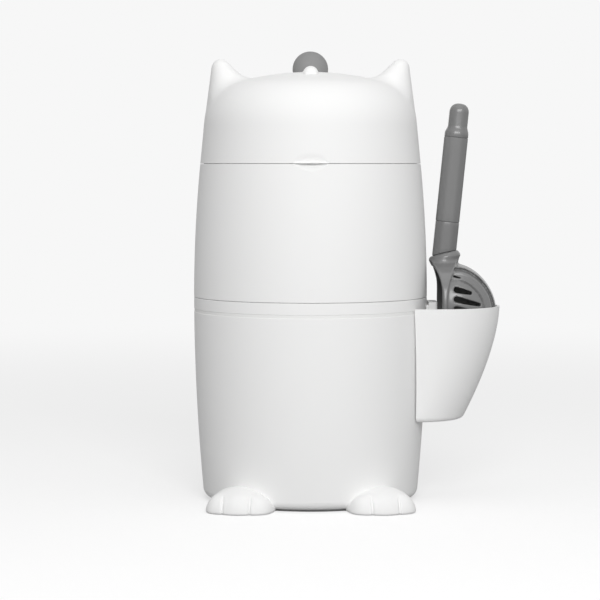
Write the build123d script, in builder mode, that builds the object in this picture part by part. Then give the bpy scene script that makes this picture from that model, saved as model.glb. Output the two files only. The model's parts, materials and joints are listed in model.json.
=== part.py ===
"""Litter disposal pail: bowed cat-shaped pail, tilting upper housing, hinged lid with a turning
cap that twists the film closed, and a scoop in a holder on the side.

Millimetres. The origin is on the floor at the pail's axis, +Z is up, the paws face -Y and the
scoop holder hangs at +X.
"""

import os
from math import atan2, cos, radians, sin, sqrt

from build123d import *

os.makedirs("parts", exist_ok=True)

# ------------------------------------------------------------------ overall form
widest_radius = 116.0       # at the seam between the band and the upper housing
base_taper = 9.7            # radius lost from the widest seam down to the floor
top_taper = 6.5             # radius lost from the widest seam up to the lid seam
shell_wall = 2.5
foot_proud = 2.0            # the foot ring stands this far out below the shell
pail_top = 187.0
strip_height = 3.0
band_height = 11.3
upper_height = 131.9
lid_height = 90.8
seam_gap = 0.4              # between shells that lift off each other
slide_gap = 0.3             # between pieces that move past each other
seat_gap = 0.2              # between pieces pushed into one another

band_base = pail_top + strip_height
upper_base = band_base + band_height
lid_base = upper_base + upper_height
lid_top = lid_base + lid_height
lid_lean = 2 * top_taper / upper_height     # the lid's wall goes on along the flank's tangent

# ------------------------------------------------------------------ lower pail
base_corner = 9.0
underside_recess = 4.0
foot_ring_radius = 93.0
foot_ring_width = 10.0
foot_groove_depth = 2.5
pail_rim_width = 4.5
pail_rim_height = 8.0
strip_inset = 0.3
paw_centre_x = 66.0
paw_centre_y = -92.0
paw_turn = 12.0
paw_radius = 31.0
paw_height = 30.0
toe_radius = 13.0
toe_height = 18.0
toe_reach = 19.0
toe_pitch = 19.0
outer_toe_reach = 14.0
paw_screw_height = 18.0
paw_screw_spread = 9.0
foot_round = 0.8
seam_bevel = 0.4

# ------------------------------------------------------------------ collar and hinges
collar_lip_width = 2.5
collar_lip_height = 5.0
collar_spigot_depth = 14.0
pin_radius = 2.0
pin_clearance = 0.05
knuckle_radius = 5.0
knuckle_standoff = 6.2      # pin axis beyond the shell
centre_knuckle_length = 43.0
outer_knuckle_length = 18.0
collar_arm_sink = 4.0         # the arms reach this far into the band
knuckle_gap = 0.5

arm_start = 8.0             # an arm leaves its wall this far from the seam
arm_height = 12.0
knuckle_arm_sink = 2.0
outer_arm_sink = 8.5

# ------------------------------------------------------------------ upper housing and cassette
upper_rim_height = 4.0
upper_rim_width = 2.5
ledge_width = 6.0
recess_width = 34.0
recess_height = 7.0
recess_depth = 3.0
mark_width = 3.9
mark_height = 12.5
mark_line = 0.6
recess_pad_face = 107.0
deck_drop = 3.7             # deck flange below the lid seam
deck_wall = 2.5
well_radius = 93.5
well_depth = 39.5
throat_radius = 62.5
throat_length = 17.5
cassette_height = 35.0
cassette_wall = 1.6
cassette_inner_wall_height = 29.0
film_path = 1.3             # room for the film between cassette and twist ring
film_slot = 5.0
film_height = 25.0
film_pleats = 7
pleat_depth = 1.2
twist_tube_radius = 63.2
twist_tube_length = 30.0
twist_flange_radius = 86.0
twist_wall = 2.2
dog_count = 4
dog_width = 6.0
dog_reach = 9.0
dog_radius = 68.5
dog_thickness = 4.0
lug_side_gap = 0.8
lug_height = 6.0
gripper_fingers = 14
gripper_hole_radius = 19.0
gripper_drop = 18.0
gripper_rim = 4.0
gripper_root = 54.0
gripper_thickness = 1.8
finger_slit = 3.0
cutter_width = 46.0
cutter_depth = 13.0
cutter_height = 18.0
cutter_base = 215.0
cutter_round = 3.0
cutter_mouth = 5.0
cutter_mouth_depth = 8.0
blade_length = 30.0
blade_width = 6.0
blade_thickness = 0.6
blade_sink = 2.0
seal_width = 4.2

# ------------------------------------------------------------------ lid and turning cap
seal_rib_width = 2.3
seal_rib_height = 8.5
seal_rib_clearance = 1.0    # from the rim, so that the rib swings clear of it
dome_radius = 275.0
shoulder_radius = 24.0
ear_centre = 77.5           # ear axis at its root
ear_shift = 12.0            # its tip stands this much further out
ear_width = 50.0
ear_depth = 54.0
ear_root = 44.0             # ear root below its tip
ear_rise = 13.6             # ear tip above the dome
ear_wall = 4.0
ear_roundness = 0.85
ear_stations = (0, 0.3, 0.55, 0.75, 0.9, 0.98)
ear_lean_growth = 1.3
lip_half_width = 17.0
lip_radius = 8.0
lip_reach = 4.0
cap_radius = 49.0
cap_gap = 0.5
cap_wall = 3.0
cap_skirt_depth = 14.0
bearing_wall = 2.5
retainer_width = 8.0
retainer_thickness = 2.4
ball_radius = 17.9
ball_height = 4.1           # ball centre above the dome's top
ball_back = 30.0
ball_stem_radius = 7.0
ball_stem_length = 9.0
ball_seat_sink = 1.4        # the ball's flat stands this far below the dome around it
ball_seat_radius = 17.6
grip_collar_wall = 2.0
grip_radius = 7.5
grip_rise = 4.4             # top of the grip bar above the dome's top
grip_front = 40.0
hub_radius = 12.0
hub_flange_radius = 18.0
hub_flange_thickness = 3.0
hub_seat_drop = 9.0
hub_screw_circle = 15.0
hub_screw_count = 3
hub_screw_radius = 1.3
hub_screw_head_radius = 2.4
hub_screw_head = 1.6
hub_screw_bite = 6.0
disc_radius = 72.0
disc_thickness = 2.5
disc_lift = 7.0             # drive disc above the lid seam
disc_rib_height = 10.0
disc_ribs = 8

# ------------------------------------------------------------------ scoop holder
holder_top = 192.0
holder_bottom = 80.0
holder_reach_top = 188.7    # outermost point at the rim
holder_reach_bottom = 152.0
holder_radius_top = 59.5
holder_radius_bottom = 50.0
holder_wall = 2.5
holder_lift = 16.0
holder_clearance = 1.2      # from the pail and the housing that the holder is lifted past
holder_corner = 6.0
holder_bulge = 1.6
holder_sections = 6
holder_back = 80.0
holder_back_top = 176.0     # the wall against the pail stops below the rim
bracket_width = 33.0
bracket_depth = 7.0
bracket_height = 16.0
bracket_drop = 9.5
bracket_round = 2.0
bracket_screw_radius = 1.6
bracket_screw_head_radius = 3.0
bracket_screw_head = 2.0
bracket_screw_length = 10.5
bracket_screw_rise = 4.5
bracket_screw_spread = 9.0
slot_wall = 2.2
slot_length = 24.0
slot_depth = 7.5
hook_thickness = 2.0
hook_wall = 2.5

# ------------------------------------------------------------------ scoop
basket_plane = 129.0        # the basket's open side, towards the pail
basket_half_width = 45.0
basket_wall = 2.4
basket_gap = 1.4            # between the basket and the holder's wall
basket_tip = 84.0
basket_top = 234.0
heel_height = 190.0         # the floor turns over the heel above this
neck_front = 145.0
neck_half_width = 14.0
neck_length = 16.0
mouth_bend = 215.0
mouth_reach = 7.0
tip_narrowing = 7.0
tip_cut = 101.0
tip_x = 147.0
lower_sections = 9
heel_sections = 6
first_slot = 225.0
floor_slot_start = 150.0
floor_slot_length = 36.0
scoop_lean = 5.7            # the handle leans outwards
handle_foot = (134.0, 246.0)
guard_drop = 9.0
guard_half_x = 15.2
guard_half_y = 17.0
core_sink = 14.0
sleeve_round = 0.36
end_cap_round = 6.0
handle_width = 22.5
handle_depth = 24.0
lower_sleeve_length = 30.0
grip_length = 84.0
end_cap_length = 33.5
end_cap_width = 18.8
sleeve_gap = 0.6            # the seams between the handle's sleeves
core_radius = 6.0
slot_pitch = 9.0
slot_width = 4.6
slot_slant = 13.5
side_slots = 11
floor_slots = 9
slot_start = 143.5
edge_band = 9.0


def flank_radius(height):
    """Outer radius of the bowed flank: a parabola below and one above the widest seam."""
    if height <= upper_base:
        return widest_radius - base_taper * ((upper_base - height) / upper_base) ** 2
    if height <= lid_base:
        return widest_radius - top_taper * ((height - upper_base) / upper_height) ** 2
    return widest_radius - top_taper - lid_lean * (height - lid_base)


def flank_slope(height):
    """How fast that radius grows with height."""
    if height < upper_base:
        return 2 * base_taper * (upper_base - height) / upper_base ** 2
    return -2 * top_taper * (height - upper_base) / upper_height ** 2


def flank_curve(low, high, inset=0.0, shift=0.0):
    """The flank between two heights on one side of the widest seam, as its exact parabola."""
    middle = (low + high) / 2
    start = flank_radius(low) - inset
    bend = start + flank_slope(low) * (middle - low)
    end = flank_radius(high) - inset
    return Bezier((start, low - shift), (bend, middle - shift), (end, high - shift))


def pail_form(inset, low, high, corner):
    """A solid of the lower pail's outside, drawn in by inset, between two heights."""
    with BuildPart() as form:
        with BuildSketch(Plane.XZ) as profile:
            with BuildLine():
                flank_curve(low, high, inset)
                Polyline((flank_radius(high) - inset, high), (0, high), (0, low),
                         (flank_radius(low) - inset, low))
            make_face()
            if corner:
                outer_bottom = profile.vertices().group_by(Axis.Y)[0].sort_by(Axis.X)[-1]
                fillet(outer_bottom, corner)
        revolve(axis=Axis.Z)
    return form.part


def ring_form(inner, outer, low, high):
    """A plain ring round the pail's axis."""
    with BuildPart() as ring:
        with BuildSketch(Plane.XY.offset(low)):
            Circle(outer)
            Circle(inner, mode=Mode.SUBTRACT)
        extrude(amount=high - low)
    return ring.part


def knuckle_form(start, length, pin_y, pin_z, wall_y, wall_low, wall_high):
    """One hinge knuckle with its arm, which runs from the pin to the wall behind it."""
    with BuildPart() as knuckle:
        with BuildSketch(Plane.YZ.offset(start)):
            with BuildLine():
                CenterArc((pin_y, pin_z), knuckle_radius, start_angle=0, arc_size=360)
                Polyline((wall_y, wall_low), (wall_y - 1, wall_low), (wall_y - 1, wall_high),
                         (wall_y, wall_high), close=True)
            make_hull()
        extrude(amount=length)
    return knuckle.part


def pin_hole(pin_y, pin_z, radius, length):
    """A cylinder along X about a hinge's axis."""
    with BuildPart() as hole:
        with BuildSketch(Plane.YZ.offset(-length / 2)):
            with Locations((pin_y, pin_z)):
                Circle(radius)
        extrude(amount=length)
    return hole.part


# Pin axes and the two rows of knuckles
tilt_pin_y = widest_radius + knuckle_standoff
tilt_pin_z = upper_base
lid_pin_y = flank_radius(lid_base) + knuckle_standoff
lid_pin_z = lid_base
outer_knuckle_start = centre_knuckle_length / 2 + knuckle_gap
pin_length = 2 * (outer_knuckle_start + outer_knuckle_length) + 2
outer_knuckle_starts = (outer_knuckle_start, -outer_knuckle_start - outer_knuckle_length)

# ================================================================== lower pail
pail_outside = pail_form(0, foot_proud, pail_top, base_corner)
pail_floor = foot_proud + underside_recess + shell_wall
pail_inside = pail_form(shell_wall, pail_floor, pail_top, base_corner - shell_wall)
pail_rim_inner = widest_radius - pail_rim_width
foot_ring_inner = foot_ring_radius - foot_ring_width / 2
foot_ring_outer = foot_ring_radius + foot_ring_width / 2
foot_ring_top = foot_proud + foot_groove_depth
collar_bore = pail_rim_inner - seat_gap - collar_lip_width
lip_outer = flank_radius(upper_base) - shell_wall - seam_gap
bracket_base = pail_top - bracket_drop
bracket_top = bracket_base + bracket_height
slot_start_x = widest_radius + slot_wall
bracket_screw_places = [Plane(origin=(widest_radius + bracket_depth, y, bracket_base + bracket_screw_rise),
                              x_dir=(0, 1, 0), z_dir=(-1, 0, 0))
                        for y in (-bracket_screw_spread, bracket_screw_spread)]


def spheroid(radius, height):
    """The upper and lower halves of a round mound, about a vertical axis at the origin."""
    with BuildPart() as mound:
        with BuildSketch(Plane.XZ):
            with BuildLine():
                EllipticalCenterArc((0, 0), radius, height, start_angle=-90, arc_size=180)
                Line((0, -height), (0, height))
            make_face()
        revolve(axis=Axis.Z)
    return mound.part


def screw(head_radius, head_height, shank_radius, shank_length):
    """A pan-head screw along +Z, whose head starts at the origin and whose shank follows it."""
    with BuildPart() as fastener:
        Cylinder(head_radius, head_height, align=(Align.CENTER, Align.CENTER, Align.MIN))
        with Locations((0, 0, head_height)):
            Cylinder(shank_radius, shank_length, align=(Align.CENTER, Align.CENTER, Align.MIN))
    return fastener.part


# ================================================================== paws
paw_seat = pail_form(-seat_gap, foot_proud - seat_gap, paw_height + shell_wall,
                     base_corner + seat_gap)
paw_mound = spheroid(paw_radius, paw_height)
paw_toe = spheroid(toe_radius, toe_height)
toe_places = ((-toe_pitch, -outer_toe_reach), (0, -toe_reach), (toe_pitch, -outer_toe_reach))
paw_screw_radius = 1.6
paw_screw_head_radius = 3.4
paw_screw_head = 2.2
paw_screw_length = 13.0
paw_screw_clearance = 1.0       # the flat heads stand off the round wall
paw_screw_reach = flank_radius(paw_screw_height) - shell_wall - paw_screw_clearance


def paw_screw_places(side):
    """The two screw axes of one paw, from inside the pail outwards."""
    bearing = atan2(paw_centre_y, side * paw_centre_x)
    outward = Vector(cos(bearing), sin(bearing), 0)
    across = Vector(-sin(bearing), cos(bearing), 0)
    foot = Vector(0, 0, paw_screw_height) + outward * (paw_screw_reach - paw_screw_head)
    return [Plane(origin=foot + across * offset, x_dir=across, z_dir=outward)
            for offset in (-paw_screw_spread, paw_screw_spread)]


# each paw is a round mound with three toes, flat underneath and cut to seat on the pail
with BuildPart() as right_paw:
    with Locations(Location((paw_centre_x, paw_centre_y, 0), (0, 0, paw_turn))):
        add(paw_mound)
        with Locations(*[(x, y, 0) for x, y in toe_places]):
            add(paw_toe)
    split(bisect_by=Plane.XY, keep=Keep.TOP)
    add(paw_seat, mode=Mode.SUBTRACT)
    Cylinder(foot_ring_outer + 2 * seat_gap + shell_wall, foot_proud,
             align=(Align.CENTER, Align.CENTER, Align.MIN), mode=Mode.SUBTRACT)
    with Locations(*paw_screw_places(1)):
        Cylinder(paw_screw_radius + pin_clearance, paw_screw_head + paw_screw_length + 1,
                 align=(Align.CENTER, Align.CENTER, Align.MIN), mode=Mode.SUBTRACT)
right_paw.part.label = "right_paw"
export_step(right_paw.part, "parts/right_paw.step")

with BuildPart() as left_paw:
    mirror(right_paw.part, about=Plane.YZ)
left_paw.part.label = "left_paw"
export_step(left_paw.part, "parts/left_paw.step")

with BuildPart() as paw_screws:
    for side in (-1, 1):
        with Locations(*paw_screw_places(side)):
            add(screw(paw_screw_head_radius, paw_screw_head, paw_screw_radius, paw_screw_length))
paw_screws.part.label = "paw_screws"
export_step(paw_screws.part, "parts/paw_screws.step")

# ================================================================== lower pail shell
with BuildPart() as pail_shell:
    add(pail_outside)
    add(pail_inside, mode=Mode.SUBTRACT)
    # thickened rim, with a sloped underside
    with BuildSketch(Plane.XZ):
        with BuildLine():
            Polyline((pail_rim_inner, pail_top), (widest_radius - 1, pail_top),
                     (widest_radius - 1, pail_top - pail_rim_height - pail_rim_width),
                     (pail_rim_inner, pail_top - pail_rim_height), close=True)
        make_face()
    revolve(axis=Axis.Z)
    # hollow underside, and the groove of the foot ring round it
    with BuildSketch(Plane.XY.offset(foot_proud)):
        Circle(foot_ring_inner - shell_wall)
    extrude(amount=underside_recess, mode=Mode.SUBTRACT)
    with BuildSketch(Plane.XY.offset(foot_proud)):
        Circle(foot_ring_outer + seat_gap)
        Circle(foot_ring_inner - seat_gap, mode=Mode.SUBTRACT)
    extrude(amount=foot_groove_depth, mode=Mode.SUBTRACT)
    for side in (-1, 1):
        with Locations(*paw_screw_places(side)):
            Cylinder(paw_screw_radius + slide_gap, paw_screw_head + paw_screw_length,
                     align=(Align.CENTER, Align.CENTER, Align.MIN), mode=Mode.SUBTRACT)
    with Locations(*bracket_screw_places):
        Cylinder(bracket_screw_radius + pin_clearance, bracket_screw_length,
                 align=(Align.CENTER, Align.CENTER, Align.MIN), mode=Mode.SUBTRACT)
    outer_top = pail_shell.edges().filter_by(GeomType.CIRCLE).group_by(Axis.Z)[-1]
    chamfer(outer_top.sort_by(lambda edge: edge.radius)[-1], seam_bevel)
pail_shell.part.label = "pail_shell"
export_step(pail_shell.part, "parts/pail_shell.step")

with BuildPart() as foot_ring:
    add(ring_form(foot_ring_inner, foot_ring_outer, 0, foot_ring_top))
    fillet(foot_ring.edges().group_by(Axis.Z)[0], foot_round)
foot_ring.part.label = "foot_ring"
export_step(foot_ring.part, "parts/foot_ring.step")

with BuildPart() as seal_strip:
    add(ring_form(pail_rim_inner, flank_radius(pail_top) - strip_inset, pail_top, band_base))
seal_strip.part.label = "seal_strip"
export_step(seal_strip.part, "parts/seal_strip.step")

# ================================================================== collar band
with BuildPart() as collar_ring:
    with BuildSketch(Plane.XZ):
        with BuildLine():
            flank_curve(band_base, upper_base)
            Polyline((flank_radius(upper_base), upper_base),
                     (lip_outer, upper_base),
                     (lip_outer, upper_base + collar_lip_height),
                     (lip_outer - collar_lip_width, upper_base + collar_lip_height),
                     (collar_bore, upper_base),
                     (collar_bore, band_base - collar_spigot_depth),
                     (collar_bore + collar_lip_width, band_base - collar_spigot_depth),
                     (collar_bore + collar_lip_width, band_base),
                     (flank_radius(band_base), band_base))
        make_face()
    revolve(axis=Axis.Z)
    band_edges = collar_ring.edges().filter_by(GeomType.CIRCLE)
    chamfer(band_edges.sort_by(lambda edge: edge.radius)[-2:], seam_bevel)
    for start in outer_knuckle_starts:
        add(knuckle_form(start, outer_knuckle_length, tilt_pin_y, tilt_pin_z,
                         widest_radius - collar_arm_sink, band_base, band_base + band_height / 2))
    with BuildSketch(Plane.XY.offset(band_base - 1)):
        Circle(collar_bore)
    extrude(amount=band_height + 1, mode=Mode.SUBTRACT)
    add(pin_hole(tilt_pin_y, tilt_pin_z, pin_radius + pin_clearance, pin_length),
        mode=Mode.SUBTRACT)
collar_ring.part.label = "collar_ring"
export_step(collar_ring.part, "parts/collar_ring.step")

with BuildPart() as tilt_hinge_pin:
    add(pin_hole(tilt_pin_y, tilt_pin_z, pin_radius, pin_length))
tilt_hinge_pin.part.label = "tilt_hinge_pin"
export_step(tilt_hinge_pin.part, "parts/tilt_hinge_pin.step")

# ================================================================== bracket of the scoop holder
with BuildPart() as holder_bracket:
    with Locations((widest_radius + bracket_depth, 0, bracket_base)):
        Box(2 * bracket_depth, bracket_width, bracket_height,
            align=(Align.MAX, Align.CENTER, Align.MIN))
    add(pail_form(-seat_gap, bracket_base - 1, upper_base, 0), mode=Mode.SUBTRACT)
    fillet(holder_bracket.edges().filter_by(Axis.Z).group_by(Axis.X)[-1], bracket_round)
    with Locations((slot_start_x, 0, bracket_top)):
        Box(hook_thickness + 2 * seat_gap, slot_length, slot_depth,
            align=(Align.MIN, Align.CENTER, Align.MAX), mode=Mode.SUBTRACT)
    with Locations(*bracket_screw_places):
        Cylinder(bracket_screw_radius + slide_gap, bracket_screw_length,
                 align=(Align.CENTER, Align.CENTER, Align.MIN), mode=Mode.SUBTRACT)
        Cylinder(bracket_screw_head_radius + slide_gap, bracket_screw_head,
                 align=(Align.CENTER, Align.CENTER, Align.MIN), mode=Mode.SUBTRACT)
holder_bracket.part.label = "holder_bracket"
export_step(holder_bracket.part, "parts/holder_bracket.step")

with BuildPart() as bracket_screws:
    with Locations(*bracket_screw_places):
        add(screw(bracket_screw_head_radius, bracket_screw_head, bracket_screw_radius,
                  bracket_screw_length - bracket_screw_head))
bracket_screws.part.label = "bracket_screws"
export_step(bracket_screws.part, "parts/bracket_screws.step")

# ================================================================== upper housing
upper_bottom = upper_base + seam_gap
upper_inner_top = flank_radius(lid_base) - shell_wall
rim_outer = upper_inner_top - seam_gap - lid_lean * upper_rim_height - slide_gap
rim_inner = rim_outer - upper_rim_width
deck_top = lid_base - deck_drop
ledge_top = deck_top - deck_wall


def recess_sphere():
    """Radial distance, rise and radius of the sphere that leaves a half-moon in the wall."""
    half_width = recess_width / 2
    wall = flank_radius(lid_base)
    side = sqrt(wall ** 2 - half_width ** 2)
    deepest = wall - recess_depth
    centre = (half_width ** 2 + side ** 2 - deepest ** 2) / (2 * (side - deepest))
    foot = flank_radius(lid_base - recess_height)
    rise = (foot - centre) ** 2 - (deepest - centre) ** 2 + recess_height ** 2
    rise /= -2 * recess_height
    return centre, rise, sqrt((deepest - centre) ** 2 + rise ** 2)


recess_centre, recess_rise, recess_radius = recess_sphere()

with BuildPart() as upper_shell:
    with BuildSketch(Plane.XZ):
        with BuildLine():
            flank_curve(upper_bottom, lid_base)
            Polyline((flank_radius(lid_base), lid_base), (0, lid_base), (0, upper_bottom),
                     (flank_radius(upper_bottom), upper_bottom))
        make_face()
    revolve(axis=Axis.Z)
    seam_edges = upper_shell.edges().filter_by(GeomType.CIRCLE)
    chamfer(seam_edges.sort_by(lambda edge: edge.radius)[-2:], seam_bevel)
    add(knuckle_form(-centre_knuckle_length / 2, centre_knuckle_length, tilt_pin_y, tilt_pin_z,
                     widest_radius - knuckle_arm_sink, upper_base + arm_start,
                     upper_base + arm_start + arm_height))
    for start in outer_knuckle_starts:
        add(knuckle_form(start, outer_knuckle_length, lid_pin_y, lid_pin_z,
                         flank_radius(lid_base) - outer_arm_sink, lid_base - arm_start - arm_height,
                         lid_base - arm_start))
    with BuildSketch(Plane.XZ):
        with BuildLine():
            flank_curve(upper_bottom, lid_base - deck_wall, shell_wall)
            Polyline((flank_radius(lid_base - deck_wall) - shell_wall, lid_base - deck_wall),
                     (0, lid_base - deck_wall), (0, upper_bottom),
                     (flank_radius(upper_bottom) - shell_wall, upper_bottom))
        make_face()
    revolve(axis=Axis.Z, mode=Mode.SUBTRACT)
    # thicker wall behind the thumb recess
    with Locations((0, -recess_pad_face, lid_base)):
        Box(recess_width + 2 * shell_wall, recess_depth + shell_wall,
            recess_height + 2 * shell_wall, align=(Align.CENTER, Align.MIN, Align.MAX))
    # the top's opening, its upright rim and the ledge that carries the deck
    add(ring_form(rim_inner, rim_outer, lid_base - deck_wall, lid_base + upper_rim_height))
    with BuildSketch(Plane.XZ):
        with BuildLine():
            Polyline((rim_inner - ledge_width + deck_wall, ledge_top),
                     (flank_radius(ledge_top) - shell_wall / 2, ledge_top),
                     (flank_radius(ledge_top) - shell_wall / 2, ledge_top - 2 * ledge_width),
                     (rim_inner - ledge_width + deck_wall, ledge_top - deck_wall), close=True)
        make_face()
    revolve(axis=Axis.Z)
    with BuildSketch(Plane.XY.offset(ledge_top)):
        Circle(rim_inner)
    extrude(amount=lid_base + upper_rim_height - ledge_top, mode=Mode.SUBTRACT)
    with Locations((0, -recess_centre, lid_base + recess_rise)):
        Sphere(recess_radius, mode=Mode.SUBTRACT)
    # alignment mark: a narrow arch cut as a fine line over the front seam
    with BuildSketch(Plane.XZ.offset(widest_radius - mark_line)):
        with Locations((0, upper_bottom)):
            SlotOverall(2 * mark_height, mark_width, rotation=90)
            SlotOverall(2 * (mark_height - mark_line), mark_width - 2 * mark_line, rotation=90,
                        mode=Mode.SUBTRACT)
    extrude(amount=shell_wall, mode=Mode.SUBTRACT)
    add(pin_hole(tilt_pin_y, tilt_pin_z, pin_radius + pin_clearance, pin_length),
        mode=Mode.SUBTRACT)
    add(pin_hole(lid_pin_y, lid_pin_z, pin_radius + pin_clearance, pin_length),
        mode=Mode.SUBTRACT)
upper_shell.part.label = "upper_shell"
export_step(upper_shell.part, "parts/upper_shell.step")

with BuildPart() as lid_hinge_pin:
    add(pin_hole(lid_pin_y, lid_pin_z, pin_radius, pin_length))
lid_hinge_pin.part.label = "lid_hinge_pin"
export_step(lid_hinge_pin.part, "parts/lid_hinge_pin.step")

# ================================================================== deck, cassette and gripper
well_floor = deck_top - well_depth
throat_bottom = well_floor - throat_length
with BuildPart() as cassette_deck:
    with BuildSketch(Plane.XZ):
        with BuildLine():
            Polyline((rim_inner - seat_gap, deck_top), (well_radius - deck_wall, deck_top),
                     (well_radius - deck_wall, well_floor), (throat_radius - deck_wall, well_floor),
                     (throat_radius - deck_wall, throat_bottom), (throat_radius, throat_bottom),
                     (throat_radius, well_floor - deck_wall), (well_radius, well_floor - deck_wall),
                     (well_radius, ledge_top), (rim_inner - seat_gap, ledge_top), close=True)
        make_face()
    revolve(axis=Axis.Z)
cassette_deck.part.label = "cassette_deck"
export_step(cassette_deck.part, "parts/cassette_deck.step")

cassette_outer = well_radius - deck_wall - slide_gap
cassette_inner = twist_tube_radius + film_path
cassette_top = well_floor + cassette_height
with BuildPart() as cassette_shell:
    with BuildSketch(Plane.XZ):
        with BuildLine():
            Polyline((cassette_inner, well_floor), (cassette_outer, well_floor),
                     (cassette_outer, cassette_top),
                     (cassette_inner + cassette_wall + film_slot, cassette_top),
                     (cassette_inner + cassette_wall + film_slot, cassette_top - cassette_wall),
                     (cassette_outer - cassette_wall, cassette_top - cassette_wall),
                     (cassette_outer - cassette_wall, well_floor + cassette_wall),
                     (cassette_inner + cassette_wall, well_floor + cassette_wall),
                     (cassette_inner + cassette_wall, well_floor + cassette_inner_wall_height),
                     (cassette_inner, well_floor + cassette_inner_wall_height), close=True)
        make_face()
    revolve(axis=Axis.Z)
cassette_shell.part.label = "cassette_shell"
export_step(cassette_shell.part, "parts/cassette_shell.step")

film_inner = cassette_inner + cassette_wall + slide_gap
film_outer = cassette_outer - cassette_wall - slide_gap
pleat_height = film_height / film_pleats
film_base = well_floor + cassette_wall
with BuildPart() as film_pack:
    with BuildSketch(Plane.XZ):
        with BuildLine():
            outside = [(film_outer - pleat_depth * (step % 2), film_base + step * pleat_height / 2)
                       for step in range(2 * film_pleats + 1)]
            inside = [(film_inner + pleat_depth * (step % 2), film_base + step * pleat_height / 2)
                      for step in range(2 * film_pleats, -1, -1)]
            Polyline(*outside, *inside, close=True)
        make_face()
    revolve(axis=Axis.Z)
film_pack.part.label = "film_pack"
export_step(film_pack.part, "parts/film_pack.step")

flange_base = cassette_top + seam_gap
flange_top = flange_base + twist_wall
dog_slot = dog_thickness + 2 * lug_side_gap
with BuildPart() as twist_ring:
    with BuildSketch(Plane.XZ):
        with BuildLine():
            Polyline((twist_tube_radius - twist_wall, flange_top), (twist_flange_radius, flange_top),
                     (twist_flange_radius, flange_base), (twist_tube_radius, flange_base),
                     (twist_tube_radius, flange_top - twist_tube_length),
                     (twist_tube_radius - twist_wall, flange_top - twist_tube_length), close=True)
        make_face()
    revolve(axis=Axis.Z)
    # each dog of the drive disc stands between a pair of lugs
    with PolarLocations(dog_radius, dog_count):
        for turn in (-1, 1):
            with Locations((0, turn * (dog_slot + dog_thickness) / 2, flange_top)):
                Box(dog_width, dog_thickness, lug_height,
                    align=(Align.CENTER, Align.CENTER, Align.MIN))
twist_ring.part.label = "twist_ring"
export_step(twist_ring.part, "parts/twist_ring.step")

with BuildPart() as gripper_ring:
    with BuildSketch(Plane.XZ):
        with BuildLine():
            Polyline((throat_radius, throat_bottom), (throat_radius, throat_bottom - gripper_rim),
                     (gripper_root, throat_bottom - gripper_rim),
                     (gripper_hole_radius, throat_bottom - gripper_drop),
                     (gripper_hole_radius, throat_bottom - gripper_drop + gripper_thickness),
                     (gripper_root, throat_bottom), close=True)
        make_face()
    revolve(axis=Axis.Z)
    with BuildSketch(Plane.XY.offset(throat_bottom)):
        with PolarLocations(0, gripper_fingers):
            with Locations(((gripper_root + gripper_hole_radius) / 2 - finger_slit, 0)):
                SlotOverall(gripper_root - gripper_hole_radius + finger_slit, finger_slit)
    extrude(amount=-2 * gripper_drop, mode=Mode.SUBTRACT)
gripper_ring.part.label = "gripper_ring"
export_step(gripper_ring.part, "parts/gripper_ring.step")

seal_inner = rim_inner - seat_gap - seal_width
with BuildPart() as rim_seal:
    add(ring_form(seal_inner, rim_inner - seat_gap, deck_top, lid_base))
    fillet(rim_seal.edges().group_by(Axis.Z)[-1], foot_round)
rim_seal.part.label = "rim_seal"
export_step(rim_seal.part, "parts/rim_seal.step")

# ================================================================== film cutter
cutter_wall = flank_radius(cutter_base + cutter_height) - shell_wall - seat_gap
with BuildPart() as cutter_housing:
    with Locations((0, -cutter_wall, cutter_base)):
        Box(cutter_width, 2 * cutter_depth, cutter_height,
            align=(Align.CENTER, Align.CENTER, Align.MIN))
    fillet(cutter_housing.edges().filter_by(Axis.Z), cutter_round)
    Cylinder(cutter_wall, 2 * (cutter_base + cutter_height), mode=Mode.INTERSECT)
    with Locations((0, -cutter_wall + cutter_depth, cutter_base + cutter_height / 2)):
        Box(cutter_width - 2 * cutter_round, 2 * cutter_mouth_depth, cutter_mouth,
            mode=Mode.SUBTRACT)
        with Locations((0, -cutter_mouth_depth, 0)):
            Box(blade_length + 2 * seat_gap, 2 * blade_sink, blade_thickness + 2 * seat_gap,
                mode=Mode.SUBTRACT)
cutter_housing.part.label = "cutter_housing"
export_step(cutter_housing.part, "parts/cutter_housing.step")

with BuildPart() as cutter_blade:
    with BuildSketch(Plane.XY.offset(cutter_base + (cutter_height - blade_thickness) / 2)):
        blade_back = -cutter_wall + cutter_depth - cutter_mouth_depth - blade_sink
        with BuildLine():
            Polyline((-blade_length / 2, blade_back), (blade_length / 2, blade_back),
                     (blade_length / 2, blade_back + blade_width),
                     (-blade_length / 2, blade_back + blade_width / 2), close=True)
        make_face()
    extrude(amount=blade_thickness)
cutter_blade.part.label = "cutter_blade"
export_step(cutter_blade.part, "parts/cutter_blade.step")


# ================================================================== lid
lid_bottom = lid_base + seam_gap
tube_outer = cap_radius + cap_gap + bearing_wall
skirt_bottom = lid_top - cap_skirt_depth


def dome_height(radius, inset=0.0):
    """Height of the dome's surface at a distance from the axis."""
    return lid_top - dome_radius + sqrt((dome_radius - inset) ** 2 - radius ** 2)


def dome_corner(inset):
    """Radius and height where the lid's leaning wall meets its dome, before the rounding."""
    foot = flank_radius(lid_bottom) - inset
    centre = lid_top - dome_radius - lid_bottom
    square = 1 + lid_lean ** 2
    half = foot * lid_lean + centre
    rise = half + sqrt(half ** 2 - square * (foot ** 2 + centre ** 2 - (dome_radius - inset) ** 2))
    rise /= square
    return foot - lid_lean * rise, lid_bottom + rise


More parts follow.
